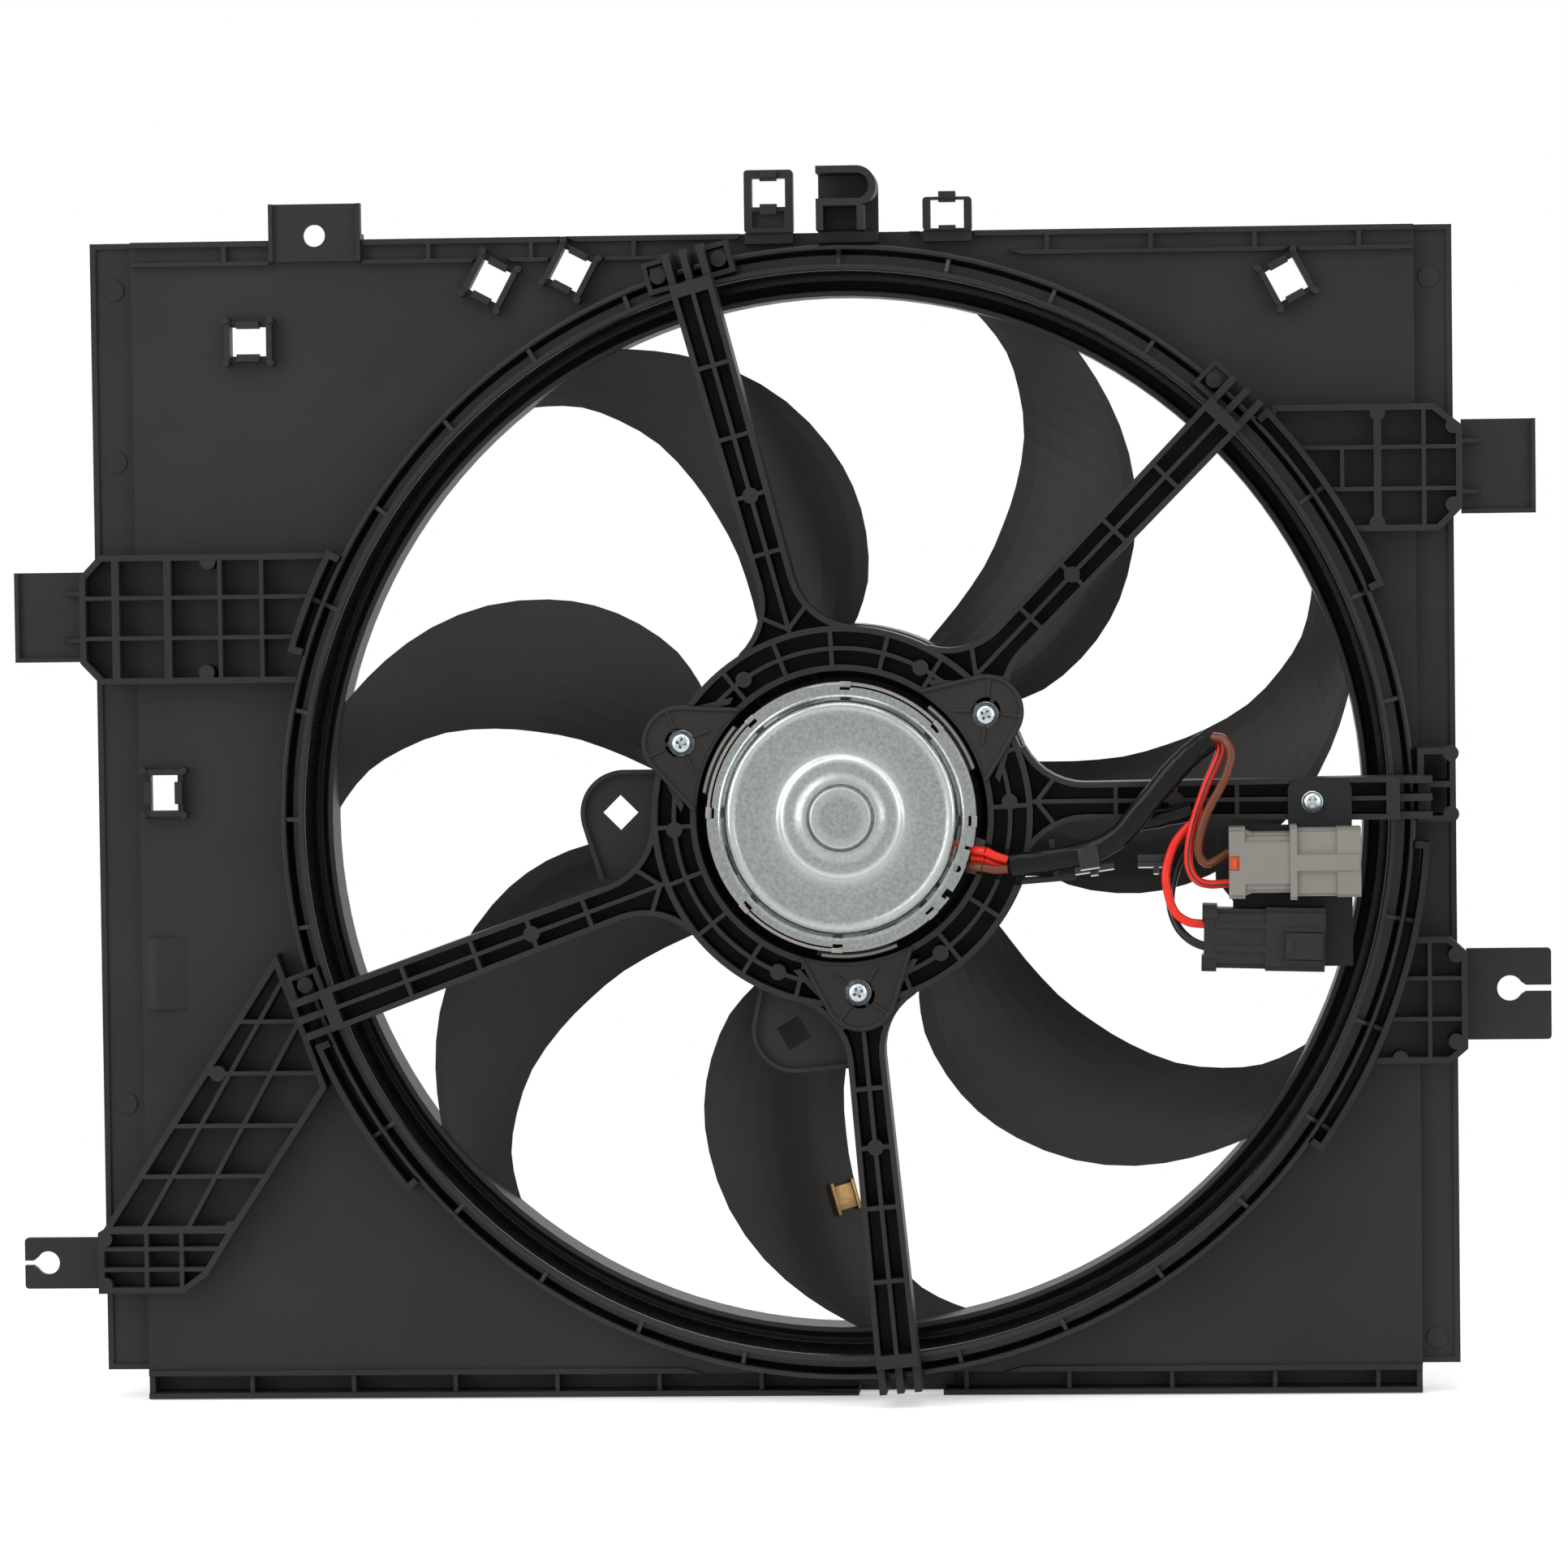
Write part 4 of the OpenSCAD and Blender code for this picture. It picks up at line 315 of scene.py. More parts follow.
for name, spot, size, watts in (
    ("lamp_upper_left", (-1.5, -1.6, 1.6), 1.4, 18.5),
    ("lamp_upper_right", (1.6, -1.4, 1.5), 1.2, 6.5),
    ("lamp_left", (-2.0, -1.2, 0.6), 1.2, 9),
    ("lamp_right", (2.0, -1.2, 0.6), 1.2, 6),
    ("lamp_top", (0.1, -0.9, 2.1), 1.5, 12),
    ("lamp_low_left", (-1.4, -1.5, 0.12), 0.6, 4.5),
    ("lamp_low_right", (1.4, -1.5, 0.12), 0.6, 3),
    ("lamp_behind", (0.3, 2.2, 1.4), 1.6, 10),
):
    lamp = bpy.data.lights.new(name, "AREA")
    lamp.size = size
    lamp.energy = watts
    stand = bpy.data.objects.new(name, lamp)
    stand.location = spot
    stand.rotation_euler = (-Vector(spot)).to_track_quat("-Z", "Y").to_euler()
    bpy.context.scene.collection.objects.link(stand)


# Shroud. One black polypropylene moulding: a flat sheet with a turned-back skirt, the round
# duct with its ribbed trough, braces, brackets, tabs and five open arms.
def dress(mat, *names):
    """Gives CAD nodes a finish, smooth over their small steps and crisp at their corners."""
    pieces = [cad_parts[name] for name in names]
    for piece in pieces:
        piece.data.materials.clear()
        piece.data.materials.append(mat)
    hold(*pieces)
    bpy.ops.object.shade_smooth_by_angle(angle=math.radians(28))


moulded = finish_of(
    "moulded", (0.0142, 0.0129, 0.0119), (0.0212, 0.0193, 0.0178), (0.42, 0.55), 2600, 0.000035,
    specular=0.2, edge=0.0005)
dress(
    moulded, "shroud_sheet", "duct_braces", "top_bolt_tab", "harness_windows", "top_loops",
    "top_hook", "bracket_left_upper", "bracket_right_upper", "bracket_right_lower",
    "bracket_left_lower", "tab_left_upper", "tab_right_upper", "tab_right_keyhole",
    "tab_left_keyhole", "carrier_tabs", "carrier_ring", "arm_top", "arm_upper_right",
    "arm_level", "arm_bottom", "arm_left", "sleeve_tray")


# Webs. Two thin walls of the same moulding: the trough's wall goes on behind the lower arm's
# prongs, all but the lowest strip of the notch there, and the sleeve's tray has a back.
def lay_blocks(name, *blocks):
    """A piece made of blocks, each from its lowest to its highest corner in millimetres."""
    laid = []
    for low, high in blocks:
        bpy.ops.object.select_all(action="DESELECT")
        bpy.ops.mesh.primitive_cube_add(
            size=1, location=[(a + b) / 2000 for a, b in zip(low, high)])
        block = bpy.context.active_object
        block.scale = [(b - a) / 1000 for a, b in zip(low, high)]
        bpy.ops.object.transform_apply(location=True, rotation=True, scale=True)
        laid.append(block)
    if len(laid) > 1:
        hold(*laid)
        bpy.ops.object.join()
    made = bpy.context.active_object
    made.name = name
    return made


for name, low, high in (
    ("trough_foot", (0.5, 9.5, -241.3), (41.8, 11.4, -232)),
    ("tray_back", (72, -38, -25.4), (88, -36.5, -19)),
):
    web = lay_blocks(name, (low, high))
    web.data.materials.append(moulded)
    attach(web, "shroud")

# Duct. The wall round the fan is polished in the mould, so it is darker and shinier than the
# sheet that it grows out of.
duct_wall = finish_of(
    "duct_wall", (0.007, 0.007, 0.007), (0.011, 0.0105, 0.01), (0.2, 0.32), 1200, 0.00001,
    specular=0.35, edge=0.0005)
dress(duct_wall, "shroud_duct")

# Fan wheel. One moulding of glass-filled nylon with a satin skin: a cup over the motor,
# seven swept blades and a band that joins their tips.
fan_nylon = finish_of(
    "fan_nylon", (0.0153, 0.0141, 0.0131), (0.0214, 0.0197, 0.0182), (0.4, 0.52), 1500, 0.00002,
    specular=0.18, edge=0.0004)
dress(fan_nylon, "fan_hub", "fan_blades", "fan_ring")

# Hub insert, nut and shaft. Machined steel, pressed in and screwed on at the rear.
turned_steel = finish_of(
    "turned_steel", (0.42, 0.43, 0.45), (0.52, 0.53, 0.55), (0.22, 0.36), 700, 0.00001, metal=1.0)
dress(turned_steel, "fan_insert", "fan_nut", "motor_shaft", "bearings")


# Balance clip. A brass strip folded over the rear edge of one blade, with its free end and its
# fold standing a little off the blade. It is built flat, across in X, along the edge in Y and
# out from the blade in Z, and then laid on the blade.
def soften(piece, width, segments, angle):
    """Rounds a piece's edges by a width in metres and shades it smooth up to an angle."""
    hold(piece)
    bevel = piece.modifiers.new("soft", "BEVEL")
    bevel.width, bevel.segments = width, segments
    bpy.ops.object.modifier_apply(modifier="soft")
    bpy.ops.object.shade_smooth_by_angle(angle=math.radians(angle))


clip_brass = finish_of(
    "clip_brass", (0.2, 0.125, 0.052), (0.33, 0.215, 0.095), (0.3, 0.46), 500, 0.00002, metal=1.0)
blade_spot = Vector((-3.6, 10.8, -162.1)) / 1000
blade_edge = Vector((3.5, -0.7, -12.4))
clip_out = Vector((0.48, -0.86, 0.17)).normalized()
clip_down = (blade_edge - clip_out * blade_edge.dot(clip_out)).normalized()
clip_across = clip_out.cross(clip_down).normalized()
if clip_across.x < 0:
    clip_across = -clip_across
strip = lay_blocks(
    "balance_strip",
    ((-4.6, -5.2, 0.1), (5.4, 5.2, 0.8)), ((-5.8, -6.9, 0.1), (-4.3, 6.9, 1.9)),
    ((4.2, -6.4, 0.1), (5.8, 6.4, 1.3)), ((5.1, -6.0, -3.9), (5.8, 6.0, 0.8)),
    ((-4.0, -6.0, -4.6), (5.8, 6.0, -3.9)))
for v in strip.data.vertices:
    v.co = blade_spot + clip_across * v.co.x + clip_down * v.co.y + clip_out * v.co.z
bpy.ops.object.mode_set(mode="EDIT")
bpy.ops.mesh.select_all(action="SELECT")
bpy.ops.mesh.normals_make_consistent(inside=False)
bpy.ops.object.mode_set(mode="OBJECT")
soften(strip, 0.00015, 2, 40)
strip.data.materials.append(clip_brass)
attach(strip, "fan")
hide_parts("balance_clip")

# Motor shell. Deep-drawn sheet steel, zinc plated, with a faint crystalline mottling.
zinc = finish_of(
    "zinc", (0.235, 0.255, 0.247), (0.345, 0.367, 0.355), (0.3, 0.42), 420, 0.000008,
    metal=1.0, cloud=620.0)
dress(zinc, "motor_can")


# Motor cap. One pressing of zinc-plated sheet: a flange, a rolled bead, a flat face, a raised
# dome and the bearing's boss. The can's tabs are bent over its flange, which is cut back there.
def press_round(name, profile, sides=240):
    """Extrudes and scales a ring along a profile of radius and Y in millimetres, edge to middle.
    A first or last radius under 1 mm closes that end with a face."""
    bpy.ops.object.select_all(action="DESELECT")
    r0, y0 = profile[0]
    bpy.ops.mesh.primitive_circle_add(
        vertices=sides, radius=r0 / 1000, fill_type="NGON" if r0 < 1 else "NOTHING",
        location=(0, y0 / 1000, 0), rotation=(math.pi / 2, 0, 0))
    made = bpy.context.active_object
    made.name = name
    bpy.ops.object.transform_apply(location=True, rotation=True, scale=True)
    bpy.ops.object.mode_set(mode="EDIT")
    bpy.ops.mesh.select_mode(type="VERT")
    bpy.ops.mesh.select_all(action="SELECT")
    for (ra, ya), (rb, yb) in zip(profile, profile[1:]):
        bpy.ops.mesh.extrude_region_move(
            TRANSFORM_OT_translate={"value": (0, (yb - ya) / 1000, 0)})
        bpy.ops.transform.resize(value=(rb / ra, 1, rb / ra), center_override=(0, yb / 1000, 0))
    if profile[-1][0] < 1 <= r0:
        bpy.ops.mesh.edge_face_add()
    bpy.ops.mesh.select_all(action="SELECT")
    bpy.ops.mesh.normals_make_consistent(inside=False)
    bpy.ops.object.mode_set(mode="OBJECT")
    return made


def pick_faces(piece, test):
    """Selects the faces whose middle passes the test of radius, angle and Y in mm and degrees."""
    bpy.ops.object.mode_set(mode="OBJECT")
    for part in (piece.data.vertices, piece.data.edges):
        part.foreach_set("select", [False] * len(part))
    for face in piece.data.polygons:
        c = face.center * 1000
        way = math.degrees(math.atan2(c.z, c.x)) % 360
        face.select = test(math.hypot(c.x, c.z), way, c.y)
    bpy.ops.object.mode_set(mode="EDIT")
    bpy.ops.mesh.select_mode(type="FACE")


def within(angle, spans):
    """Whether an angle lies in one of the spans."""
    return any(low < angle < high for low, high in spans)


def apart(a, b):
    """The angle between two directions, in degrees."""
    return abs((a - b + 180) % 360 - 180)


def cut_away(piece, cutter):
    """Takes a cutter's volume out of a bare piece and removes the cutter. The manifold solver
    gives the same cut each run, which the exact one doesn't where the screws' two cuts cross,
    but it leaves an empty material slot, which goes."""
    taken = piece.modifiers.new("taken", "BOOLEAN")
    taken.object, taken.operation, taken.solver = cutter, "DIFFERENCE", "MANIFOLD"
    hold(piece)
    bpy.ops.object.modifier_apply(modifier="taken")
    bpy.data.objects.remove(cutter)
    piece.data.materials.clear()


cap = press_round("cap_pressing", [
    (54.7, -47.8), (54.9, -48.15), (54.6, -48.4), (53.4, -48.42), (52.2, -48.42), (51.0, -48.42),
    (50.3, -48.55), (49.6, -49.0), (48.9, -49.9), (48.2, -51.1), (47.5, -52.2), (46.8, -53.0),
    (46.1, -53.45), (45.3, -53.65), (44.6, -53.62), (43.9, -53.4), (43.3, -53.1), (42.7, -52.98),
    (41.5, -52.95), (38.0, -52.95), (28.5, -52.95), (26.8, -53.0), (25.9, -53.2), (25.2, -53.65),
    (24.6, -54.15), (24.0, -54.5), (23.3, -54.65), (22.2, -54.65), (20.0, -54.75), (18.6, -55.05),
    (17.4, -55.5), (16.4, -55.95), (15.5, -56.2), (14.6, -56.3), (14.0, -56.2), (13.7, -55.9),
    (13.4, -55.75), (13.1, -56.0), (12.9, -56.7), (12.7, -57.4), (12.35, -57.85), (11.8, -58.05),
    (11.0, -58.05), (9.2, -57.98), (6.0, -57.95), (0.6, -57.95),
])
flange_r, edge_r, rim_r = 52.2, 53.4, 54.85
bends, bend_half = [42.5 + 45 * k for k in range(8)], 2.3
cut_back = ((42, 86), (131, 176), (222, 268))
notches = ((344.9, 347.2), (321.6, 324.8))
pick_faces(cap, lambda r, a, y: (
    r > edge_r and within(a, cut_back)
    or flange_r < r < edge_r and any(apart(a, b) < bend_half for b in bends)
    or r > flange_r and within(a, notches)))
bpy.ops.mesh.delete(type="FACE")
raised_pads, pads_y, pad_rise = ((12, 28), (98, 121), (193, 208), (282, 297)), -48.3, 0.0004
pick_faces(cap, lambda r, a, y: flange_r < r < rim_r and y < pads_y and within(a, raised_pads))
bpy.ops.mesh.extrude_region_move(TRANSFORM_OT_translate={"value": (0, -pad_rise, 0)})
bpy.ops.mesh.select_all(action="DESELECT")
bpy.ops.object.mode_set(mode="OBJECT")
shell = cap.modifiers.new("sheet", "SOLIDIFY")
shell.thickness, shell.offset = 0.0009, -1
bpy.ops.object.modifier_apply(modifier="sheet")
hole_way, hole_off, hole_r = math.radians(-24.5), 0.0521, 0.0015
bpy.ops.object.select_all(action="DESELECT")
bpy.ops.mesh.primitive_cylinder_add(
    radius=hole_r, depth=0.006, vertices=32, rotation=(math.pi / 2, 0, 0),
    location=(hole_off * math.cos(hole_way), -0.0482, hole_off * math.sin(hole_way)))
cut_away(cap, bpy.context.active_object)
bpy.ops.object.shade_smooth_by_angle(angle=math.radians(32))


def paint_crest_highlights(mat, name, peaks, bright):
    """A copy of a finish with painted highlights, a lighter colour on the crests of a pressing that
    stands in for lamps' glints: peaks holds radii in millimetres with the share of the painted
    highlight there, and beyond the last crest it is smoother."""
    reach = 60
    painted_highlight = mat.copy()
    painted_highlight.name = name
    tree = painted_highlight.node_tree
    shader = tree.nodes["Principled BSDF"]
    tone = shader.inputs["Base Color"].links[0].from_socket
    gloss = shader.inputs["Roughness"].links[0].from_socket
    place = node(tree, "ShaderNodeTexCoord").outputs["Object"]
    flat = node(tree, "ShaderNodeVectorMath", {1: (1, 0, 1)}, operation="MULTIPLY")
    away = node(tree, "ShaderNodeVectorMath", operation="LENGTH")
    share = node(tree, "ShaderNodeMath", {1: 1000 / reach}, operation="MULTIPLY")
    crest = node(tree, "ShaderNodeValToRGB")
    crest.color_ramp.interpolation = "EASE"
    stops = crest.color_ramp.elements
    stops[0].position, stops[1].position = 0.0, 1.0
    stops[0].color = stops[1].color = (0, 0, 0, 1)
    for radius, value in peaks:
        stops.new(radius / reach).color = (value, value, value, 1)
    mix = node(tree, "ShaderNodeMix", data_type="RGBA")
    mix.inputs[7].default_value = (*bright, 1)
    outer = node(tree, "ShaderNodeMapRange", {
        "From Min": 0.0435, "From Max": 0.0465, "To Min": 1.0, "To Max": 0.5})
    slick = node(tree, "ShaderNodeMath", operation="MULTIPLY")
    link(tree,
         (place, flat.inputs[0]), (flat.outputs[0], away.inputs[0]),
         (away.outputs["Value"], share.inputs[0]), (share.outputs[0], crest.inputs[0]),
         (crest.outputs[0], mix.inputs[0]), (tone, mix.inputs[6]),
         (mix.outputs[2], shader.inputs["Base Color"]),
         (away.outputs["Value"], outer.inputs["Value"]), (gloss, slick.inputs[0]),
         (outer.outputs[0], slick.inputs[1]), (slick.outputs[0], shader.inputs["Roughness"]))
    return painted_highlight


# Painted highlights: light rings of colour on the boss edge, the dome's rim, the bead and the slopes
# beside them.
cap.data.materials.append(paint_crest_highlights(zinc, "cap_zinc", (
    (7.5, 0.0), (10.0, 0.3), (11.8, 0.4), (12.5, 0.8), (13.2, 0.0), (14.2, 0.25), (16.0, 0.3),
    (17.6, 0.25), (19.4, 0.0), (22.0, 0.1), (24.2, 0.9), (25.4, 0.5), (27.0, 0.35), (29.5, 0.12),
    (34.0, 0.0), (43.4, 0.0), (45.0, 0.8), (46.0, 0.3), (46.8, 0.0)), (0.58, 0.59, 0.57)))
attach(cap, "shroud")
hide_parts("motor_cap")

# Crimps. Eight tongues of the can's wall, cut free and bent over the cap's flange; each shows
# the bare grey steel of its cut and leaves a slot beside it.
cut_steel = finish_of(
    "cut_steel", (0.2, 0.183, 0.17), (0.4, 0.378, 0.36), (0.3, 0.45), 2200, 0.00004,
    metal=1.0, cloud=1600.0)
for count, bend in enumerate(bends, 1):
    tongue = lay_blocks(
        f"crimp_{count}",
        ((53.65, -49.35, -2.35), (55.75, -48.45, 2.35)), ((54.85, -49.3, -2.35), (55.75, -45.1, 2.35)))
    tongue.data.transform(Matrix.Rotation(-math.radians(bend), 4, "Y"))
    soften(tongue, 0.00028, 3, 40)
    tongue.data.materials.append(cut_steel)
    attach(tongue, "shroud")
    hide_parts("crimp_ring")


# Lip of the can. The drawn can ends in an upright lip of bare cut steel that stands round the
# cap's flange and shows between the bent tongues, with a dark gap inside it. It is open where
# the leads come out.
def mend_mesh():
    """Merges doubled points of the piece in hand and turns its faces outward, in edit mode."""
    bpy.ops.mesh.select_all(action="SELECT")
    bpy.ops.mesh.remove_doubles(threshold=0.00001)
    bpy.ops.mesh.normals_make_consistent(inside=False)


def part_ring(name, profile, gone):
    """A ring of a closed profile without the stretch where gone, a test of the angle, is true."""
    ring = press_round(name, profile)
    bpy.ops.object.mode_set(mode="EDIT")
    mend_mesh()
    pick_faces(ring, lambda r, a, y: gone(a))
    bpy.ops.mesh.delete(type="FACE")
    bpy.ops.mesh.select_all(action="SELECT")
    bpy.ops.mesh.fill_holes(sides=0)
    bpy.ops.mesh.normals_make_consistent(inside=False)
    bpy.ops.object.mode_set(mode="OBJECT")
    return ring


leads_way_out = ((322, 347),)
lip = part_ring("can_lip", [
    (54.0, -43.0), (55.2, -43.0), (55.5, -43.4), (55.5, -47.9), (55.3, -48.15), (54.2, -48.15),
    (54.0, -47.9), (54.0, -43.0),
], lambda a: within(a, leads_way_out))
bpy.ops.object.shade_smooth_by_angle(angle=math.radians(30))
lip.data.materials.append(cut_steel)
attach(lip, "shroud")

# Motor flange. A steel plate on the can, hidden in the carrier and given a near-black finish as
# painted shade for the deep gap it lies in; its three pads end in a turned-up edge of bare zinc
# that shows beside the cap's rim.
flange_painted_shade = finish_of(
    "flange_painted_shade", (0.006, 0.006, 0.006), (0.01, 0.01, 0.01), (0.5, 0.65), 500, 0.00002,
    specular=0.2)
dress(flange_painted_shade, "motor_flange")
pad_zinc = finish_of(
    "pad_zinc", (0.15, 0.16, 0.145), (0.21, 0.22, 0.2), (0.45, 0.6), 500, 0.00002, metal=0.6)
pad_half = 15.6
for count, way in enumerate((35.6, 154.6, 276.2), 1):
    pad = part_ring(f"flange_pad_{count}", [
        (56.6, -38.0), (56.6, -43.4), (57.0, -43.8), (57.9, -43.7), (58.3, -43.2), (58.3, -38.0),
        (56.6, -38.0),
    ], lambda a: apart(a, way) > pad_half)
    bpy.ops.object.shade_smooth_by_angle(angle=math.radians(40))
    pad.data.materials.append(pad_zinc)
    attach(pad, "shroud")


# Lug plates. The carrier's three screw lugs are closed pans inside their rounded walls, with
# four low ribs from the screw's collar; here each is one moulded plate with its walls. It is
# drawn with its screw on the X axis and then turned to its place.
def lay_plate(name, outline, hole_x, radius, low, high):
    """A flat plate in the plane of X and Z, from Y low to high, with one round hole on the X axis,
    in millimetres."""
    drawn = bpy.data.curves.new(name, "CURVE")
    drawn.dimensions, drawn.fill_mode, drawn.extrude = "2D", "BOTH", (high - low) / 2000
    steps = [k * math.pi / 16 for k in range(32)]
    hole = [(hole_x + radius * math.cos(t), radius * math.sin(t)) for t in steps]
    for loop in (outline, hole):
        line = drawn.splines.new("POLY")
        line.points.add(len(loop) - 1)
        line.use_cyclic_u = True
        for spot, (x, z) in zip(line.points, loop):
            spot.co = (x / 1000, z / 1000, 0, 1)
    made = as_mesh(name, drawn)
    upright = Matrix.Rotation(math.pi / 2, 4, "X")
    made.data.transform(Matrix.Translation((0, (low + high) / 2000, 0)) @ upright)
    bpy.ops.object.mode_set(mode="EDIT")
    mend_mesh()
    bpy.ops.object.mode_set(mode="OBJECT")
    return made


lug_x, lug_r, lug_hole_r, lug_flank = 73.4, 14.4, 5.9, math.radians(72)
lug_root = ((56.4, 22.6), (60.2, 13.0), (61.6, 0.0), (60.2, -13.0), (56.4, -22.6))
plate_y, wall_y, rib_y, wall_r, rib_r, collar_r = (-44.25, -36), -44.5, -44.3, 1.05, 0.9, 6.2
for count, way in enumerate((35.4, 155.0, 275.3), 1):
    bow = [lug_flank - lug_flank * k / 7 for k in range(15)]
    rim = [
        lug_root[0], *((lug_x + lug_r * math.cos(t), lug_r * math.sin(t)) for t in bow),
        lug_root[-1]]
    plate = lay_plate(
        f"lug_plate_{count}", [*rim, *lug_root[-2:0:-1]], lug_x, lug_hole_r, *plate_y)
    rods = [lay_cord("wall", [[x, wall_y, z] for x, z in rim], wall_r, 3)]
    for spoke, reach in ((48.6, 14), (-44, 14), (142, 13.5), (227.5, 13.5)):
        t = math.radians(spoke)
        rib = [
            [lug_x + q * math.cos(t), rib_y, q * math.sin(t)]
            for q in (collar_r, reach / 2 + 3, reach)]
        rods.append(lay_cord("spoke", rib, rib_r, 2))
    hold(plate, *rods)
    bpy.ops.object.join()
    plate.data.transform(Matrix.Rotation(-math.radians(way), 4, "Y"))
    bpy.ops.object.shade_smooth_by_angle(angle=math.radians(40))
    plate.data.materials.clear()
    plate.data.materials.append(moulded)
    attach(plate, "shroud")

# Inside of the motor. Laminated steel, enamelled copper, ferrite and carbon, all behind the cap.
core_steel = finish_of(
    "core_steel", (0.2, 0.2, 0.21), (0.28, 0.28, 0.3), (0.4, 0.55), 600, 0.00003, metal=0.9)
dress(core_steel, "armature")
copper = finish_of(
    "copper", (0.42, 0.15, 0.06), (0.6, 0.24, 0.1), (0.25, 0.4), 900, 0.00004, metal=0.9)
dress(copper, "windings", "commutator")
ferrite = finish_of(
    "ferrite", (0.03, 0.03, 0.032), (0.05, 0.05, 0.054), (0.55, 0.7), 800, 0.00004)
dress(ferrite, "magnets")
card = finish_of("card", (0.05, 0.03, 0.018), (0.08, 0.05, 0.03), (0.4, 0.55), 700, 0.00002)
dress(card, "brush_holder")
carbon = finish_of("carbon", (0.012, 0.012, 0.012), (0.02, 0.02, 0.02), (0.5, 0.65), 900, 0.00003)
dress(carbon, "brushes")

# Lead grommet. A low block of black rubber in the can's wall, which the leads come out over.
grommet_rubber = finish_of(
    "grommet_rubber", (0.008, 0.008, 0.008), (0.014, 0.014, 0.014), (0.5, 0.65), 900, 0.00003)
grommet = lay_blocks("grommet_low", ((54.7, -43.7, -7.5), (59.7, -36.1, 7.5)))
grommet.data.transform(Matrix.Rotation(math.radians(17), 4, "Y"))
soften(grommet, 0.0006, 2, 40)
grommet.data.materials.append(grommet_rubber)
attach(grommet, "shroud")
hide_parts("lead_grommet")

# Plugs. Grey and black nylon housings on a folded steel plate with a black coat; the grey one
# has an orange lock, the black one a sprung latch.
grey_nylon = finish_of(
    "grey_nylon", (0.17, 0.162, 0.144), (0.205, 0.196, 0.175), (0.38, 0.5), 1400, 0.00002,
    specular=0.3, edge=0.0004)
dress(grey_nylon, "grey_plug")
orange_lock = finish_of(
    "orange_lock", (0.5, 0.062, 0.012), (0.6, 0.085, 0.02), (0.35, 0.46), 1200, 0.00002,
    specular=0.3, edge=0.0003)
dress(orange_lock, "grey_lock")
black_nylon = finish_of(
    "black_nylon", (0.013, 0.0124, 0.012), (0.02, 0.0192, 0.0186), (0.36, 0.48), 1400, 0.00002,
    specular=0.2, edge=0.0004)
dress(black_nylon, "black_plug", "black_latch")
coated_steel = finish_of(
    "coated_steel", (0.008, 0.008, 0.0084), (0.012, 0.012, 0.0125), (0.4, 0.52), 1100, 0.00003,
    specular=0.2, edge=0.0003)
dress(coated_steel, "plug_bracket")
tinned = finish_of(
    "tinned", (0.52, 0.5, 0.44), (0.62, 0.6, 0.52), (0.25, 0.4), 700, 0.00001, metal=1.0)
dress(tinned, "grey_pins", "black_pins")

# Snap clips. Two nylon clips stand on the lower edge of the level arm: a strap round the
# sleeves with a flat foot and a tongue, and a plain foot with a tongue beside it. Their faces
# that turn downward carry a painted highlight: a pale colour that stands in for the floor's
# reflection on their lower edges.
clip_nylon = finish_of(
    "clip_nylon", (0.009, 0.009, 0.009), (0.015, 0.0148, 0.0145), (0.25, 0.4), 1400, 0.00002,
    specular=0.35)
clip_tree = clip_nylon.node_tree
clip_colour = clip_tree.nodes["Principled BSDF"].inputs["Base Color"]
clip_tone = clip_colour.links[0].from_socket
# Painted highlight: faces turned downward get a pale colour for the floor's reflection.
facing = node(clip_tree, "ShaderNodeNewGeometry").outputs["True Normal"]
upward = node(clip_tree, "ShaderNodeSeparateXYZ")
painted_highlight = node(clip_tree, "ShaderNodeMapRange", {"From Min": -0.15, "From Max": -0.45})
pale = node(clip_tree, "ShaderNodeMix", data_type="RGBA")
pale.inputs[7].default_value = (0.62, 0.6, 0.58, 1)
link(clip_tree,
     (facing, upward.inputs[0]), (upward.outputs[2], painted_highlight.inputs["Value"]),
     (painted_highlight.outputs[0], pale.inputs[0]), (clip_tone, pale.inputs[6]),
     (pale.outputs[2], clip_colour))
pivot = Vector((0.103, -0.05, -0.0205))
for name, tilt, blocks in (
    ("clip_strap", 8, (
        ((97.6, -56.8, -22.0), (106.0, -44.2, -12.6)),
        ((95.2, -53.6, -23.6), (111.6, -51.9, -20.6)),
        ((101.4, -54.2, -25.0), (104.9, -52.2, -22.6)))),
    ("clip_foot", 0, (
        ((121.2, -51.5, -21.9), (135.0, -44.2, -16.2)),
        ((121.2, -53.4, -21.9), (135.0, -51.2, -19.4)),
        ((127.5, -53.8, -24.6), (130.0, -51.8, -21.2)))),
):
    clip = lay_blocks(name, *blocks)
    tilted = Matrix.Rotation(math.radians(-tilt), 4, "Y")
    clip.data.transform(Matrix.Translation(pivot) @ tilted @ Matrix.Translation(-pivot))
    soften(clip, 0.0006, 2, 30)
    clip.data.materials.append(clip_nylon)
    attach(clip, "shroud")
    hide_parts("harness_clip")

# Screws. Thread-forming screws of hardened steel with a pan head on a thin flange and a cross
# recess, zinc plated with a cold blue passivation, driven into the carrier and into its boss.
# The groove round the head and the recess carry painted shade, a darker tone.
screw_zinc = finish_of(
    "screw_zinc", (0.4, 0.45, 0.48), (0.58, 0.63, 0.66), (0.2, 0.32), 900, 0.00002,
    metal=1.0, cloud=900.0)
screw_shade = finish_of(
    "screw_shade", (0.05, 0.06, 0.068), (0.09, 0.105, 0.115), (0.3, 0.42), 900, 0.00002,
    metal=1.0, cloud=900.0)
recess_r, recess_y = 2.1, -47.4


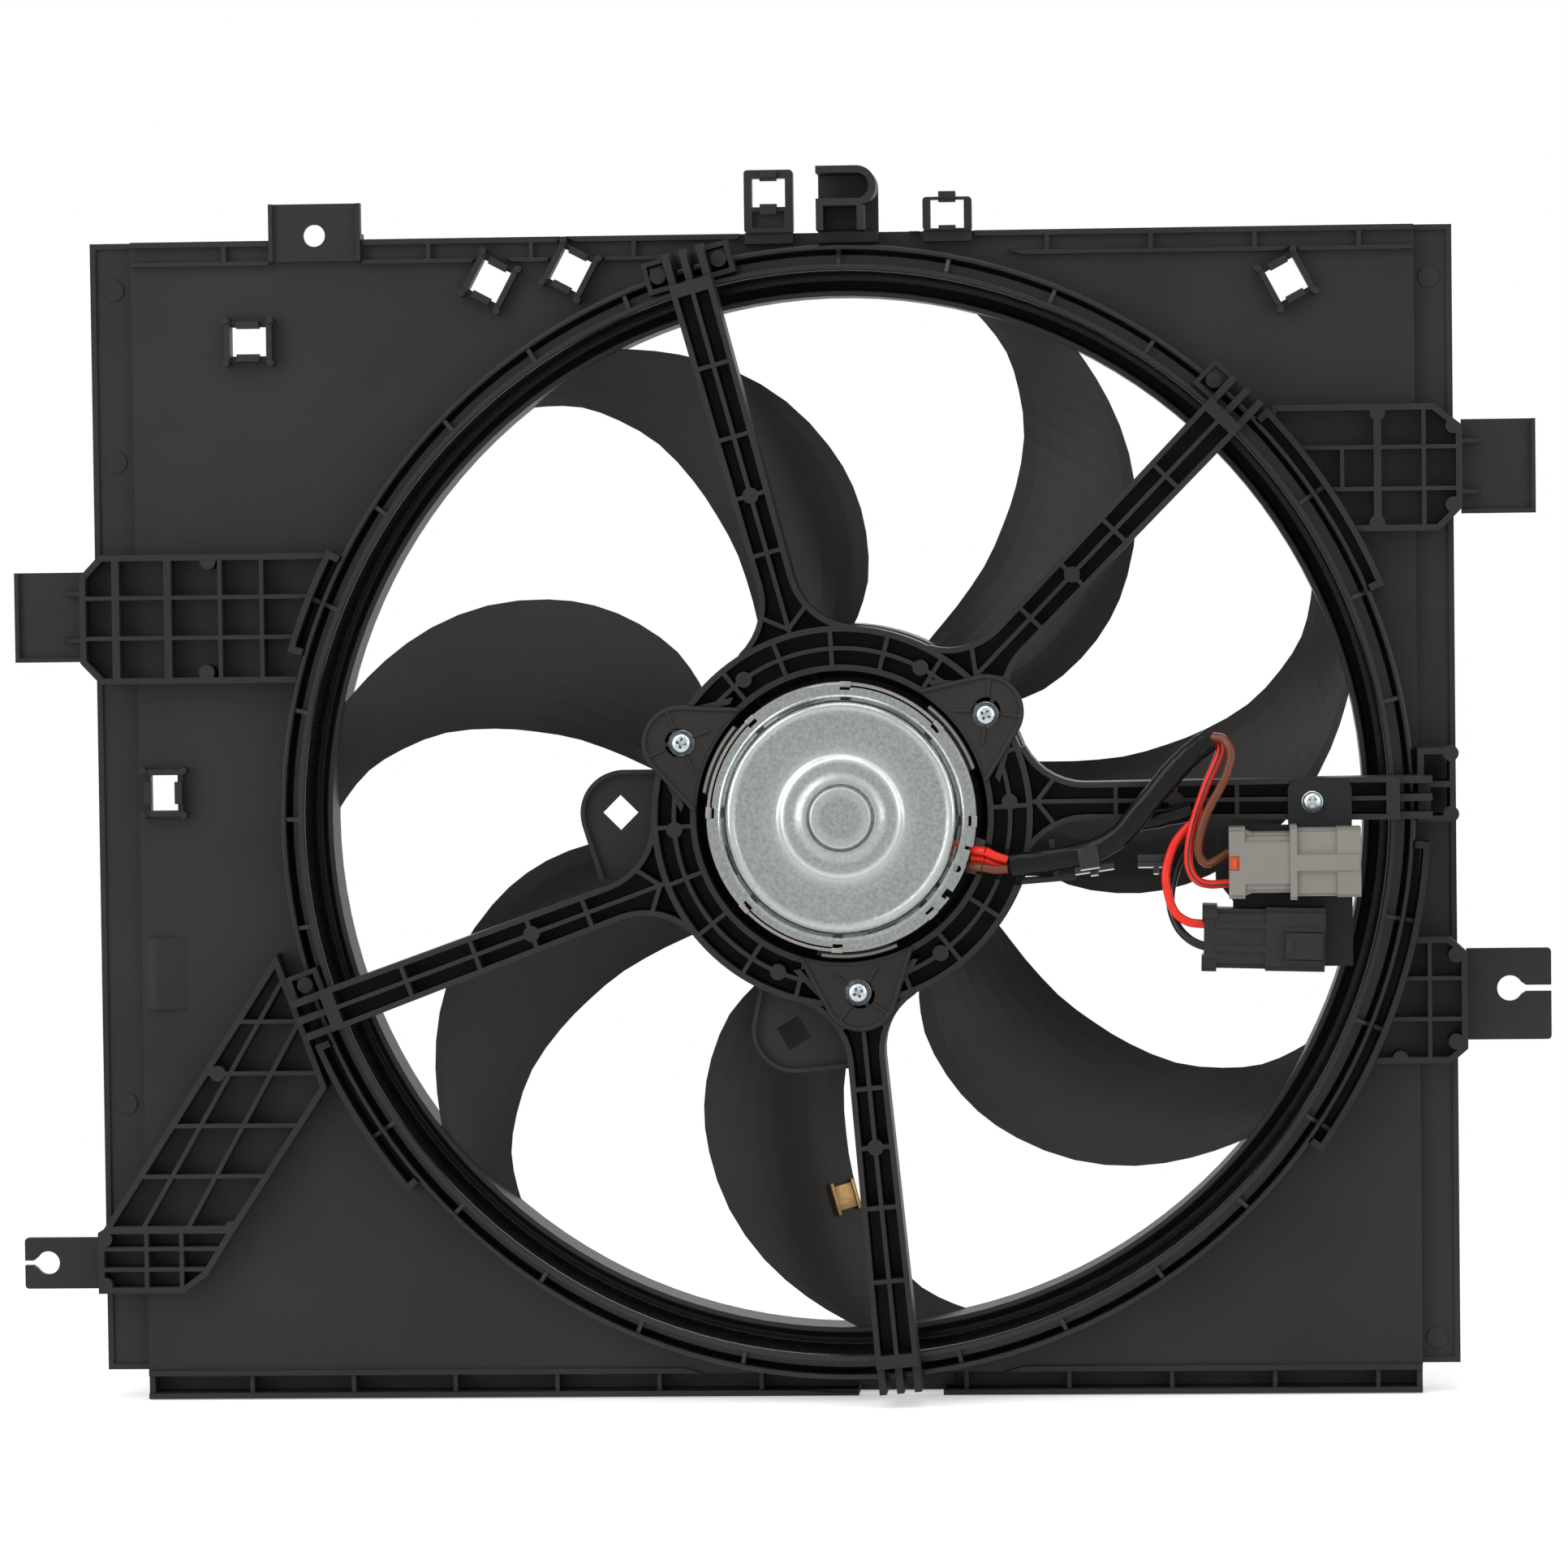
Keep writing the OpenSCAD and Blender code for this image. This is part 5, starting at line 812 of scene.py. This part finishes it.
def drive_screw(name, x, z, seat, shank, length, flange, head, turn):
    """One screw whose flange rests on a seat at Y, with its recess turned by an angle in radians.
    shank, flange and head are radii; all lengths are in millimetres."""
    made = press_round(name, [
        (0.3, seat + length), (shank - 0.9, seat + length - 0.2), (shank - 0.5, seat + length - 3),
        (shank - 0.5, seat + 0.3), (shank, seat + 0.3), (shank, seat), (flange - 0.2, seat),
        (flange, seat - 0.25), (flange, seat - 0.8), (flange - 0.25, seat - 1.05),
        (head + 0.5, seat - 0.85), (head + 0.1, seat - 1.0), (head, seat - 1.4),
        (head - 0.05, seat - 2.3), (head - 0.35, seat - 2.9), (head - 0.9, seat - 3.3),
        (head - 1.8, seat - 3.6), (0.5, seat - 3.7),
    ], sides=64)
    for quarter in (0, math.pi / 2):
        bpy.ops.object.select_all(action="DESELECT")
        bpy.ops.mesh.primitive_cube_add(
            size=1, location=(0, (seat - 2.9) / 1000, 0), rotation=(0, quarter, 0))
        cutter = bpy.context.active_object
        cutter.scale = (0.0048, 0.0028, 0.0011)
        bpy.ops.object.transform_apply(location=False, rotation=False, scale=True)
        for v in cutter.data.vertices:
            if v.co.y > 0:
                v.co.x, v.co.z = v.co.x * 0.5, v.co.z * 0.7
        cut_away(made, cutter)
    made.location, made.rotation_euler = (x / 1000, 0, z / 1000), (0, turn, 0)
    bpy.ops.object.transform_apply(location=True, rotation=True, scale=True)
    bpy.ops.object.shade_smooth_by_angle(angle=math.radians(30))
    made.data.materials.append(screw_zinc)
    made.data.materials.append(screw_shade)
    # Painted shade: the groove round the head and the inside of the recess take the darker material.
    for face in made.data.polygons:
        c = face.center * 1000
        off = math.hypot(c.x - x, c.z - z)
        in_groove = head + 0.1 < off < flange - 0.3
        in_recess = off < recess_r and c.y > recess_y and face.normal.y > -0.9
        face.material_index = 1 if in_groove or in_recess else 0
    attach(made, "shroud")
    return made


screw_off, screw_way = 72.5, 34.7
for count, turn in enumerate((0.5, 0.2, 1.1)):
    way = math.radians(screw_way + 120 * count)
    held = drive_screw(
        f"carrier_screw_{count + 1}", screw_off * math.cos(way), screw_off * math.sin(way),
        seat=-44, shank=2.4, length=30, flange=5.3, head=4.1, turn=turn)
    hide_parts("motor_screws")
held = drive_screw(
    "plate_screw", 192.7, 4.3, seat=-46, shank=2, length=18, flange=4.4, head=3.9, turn=0.8)
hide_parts("plug_bracket_screw")
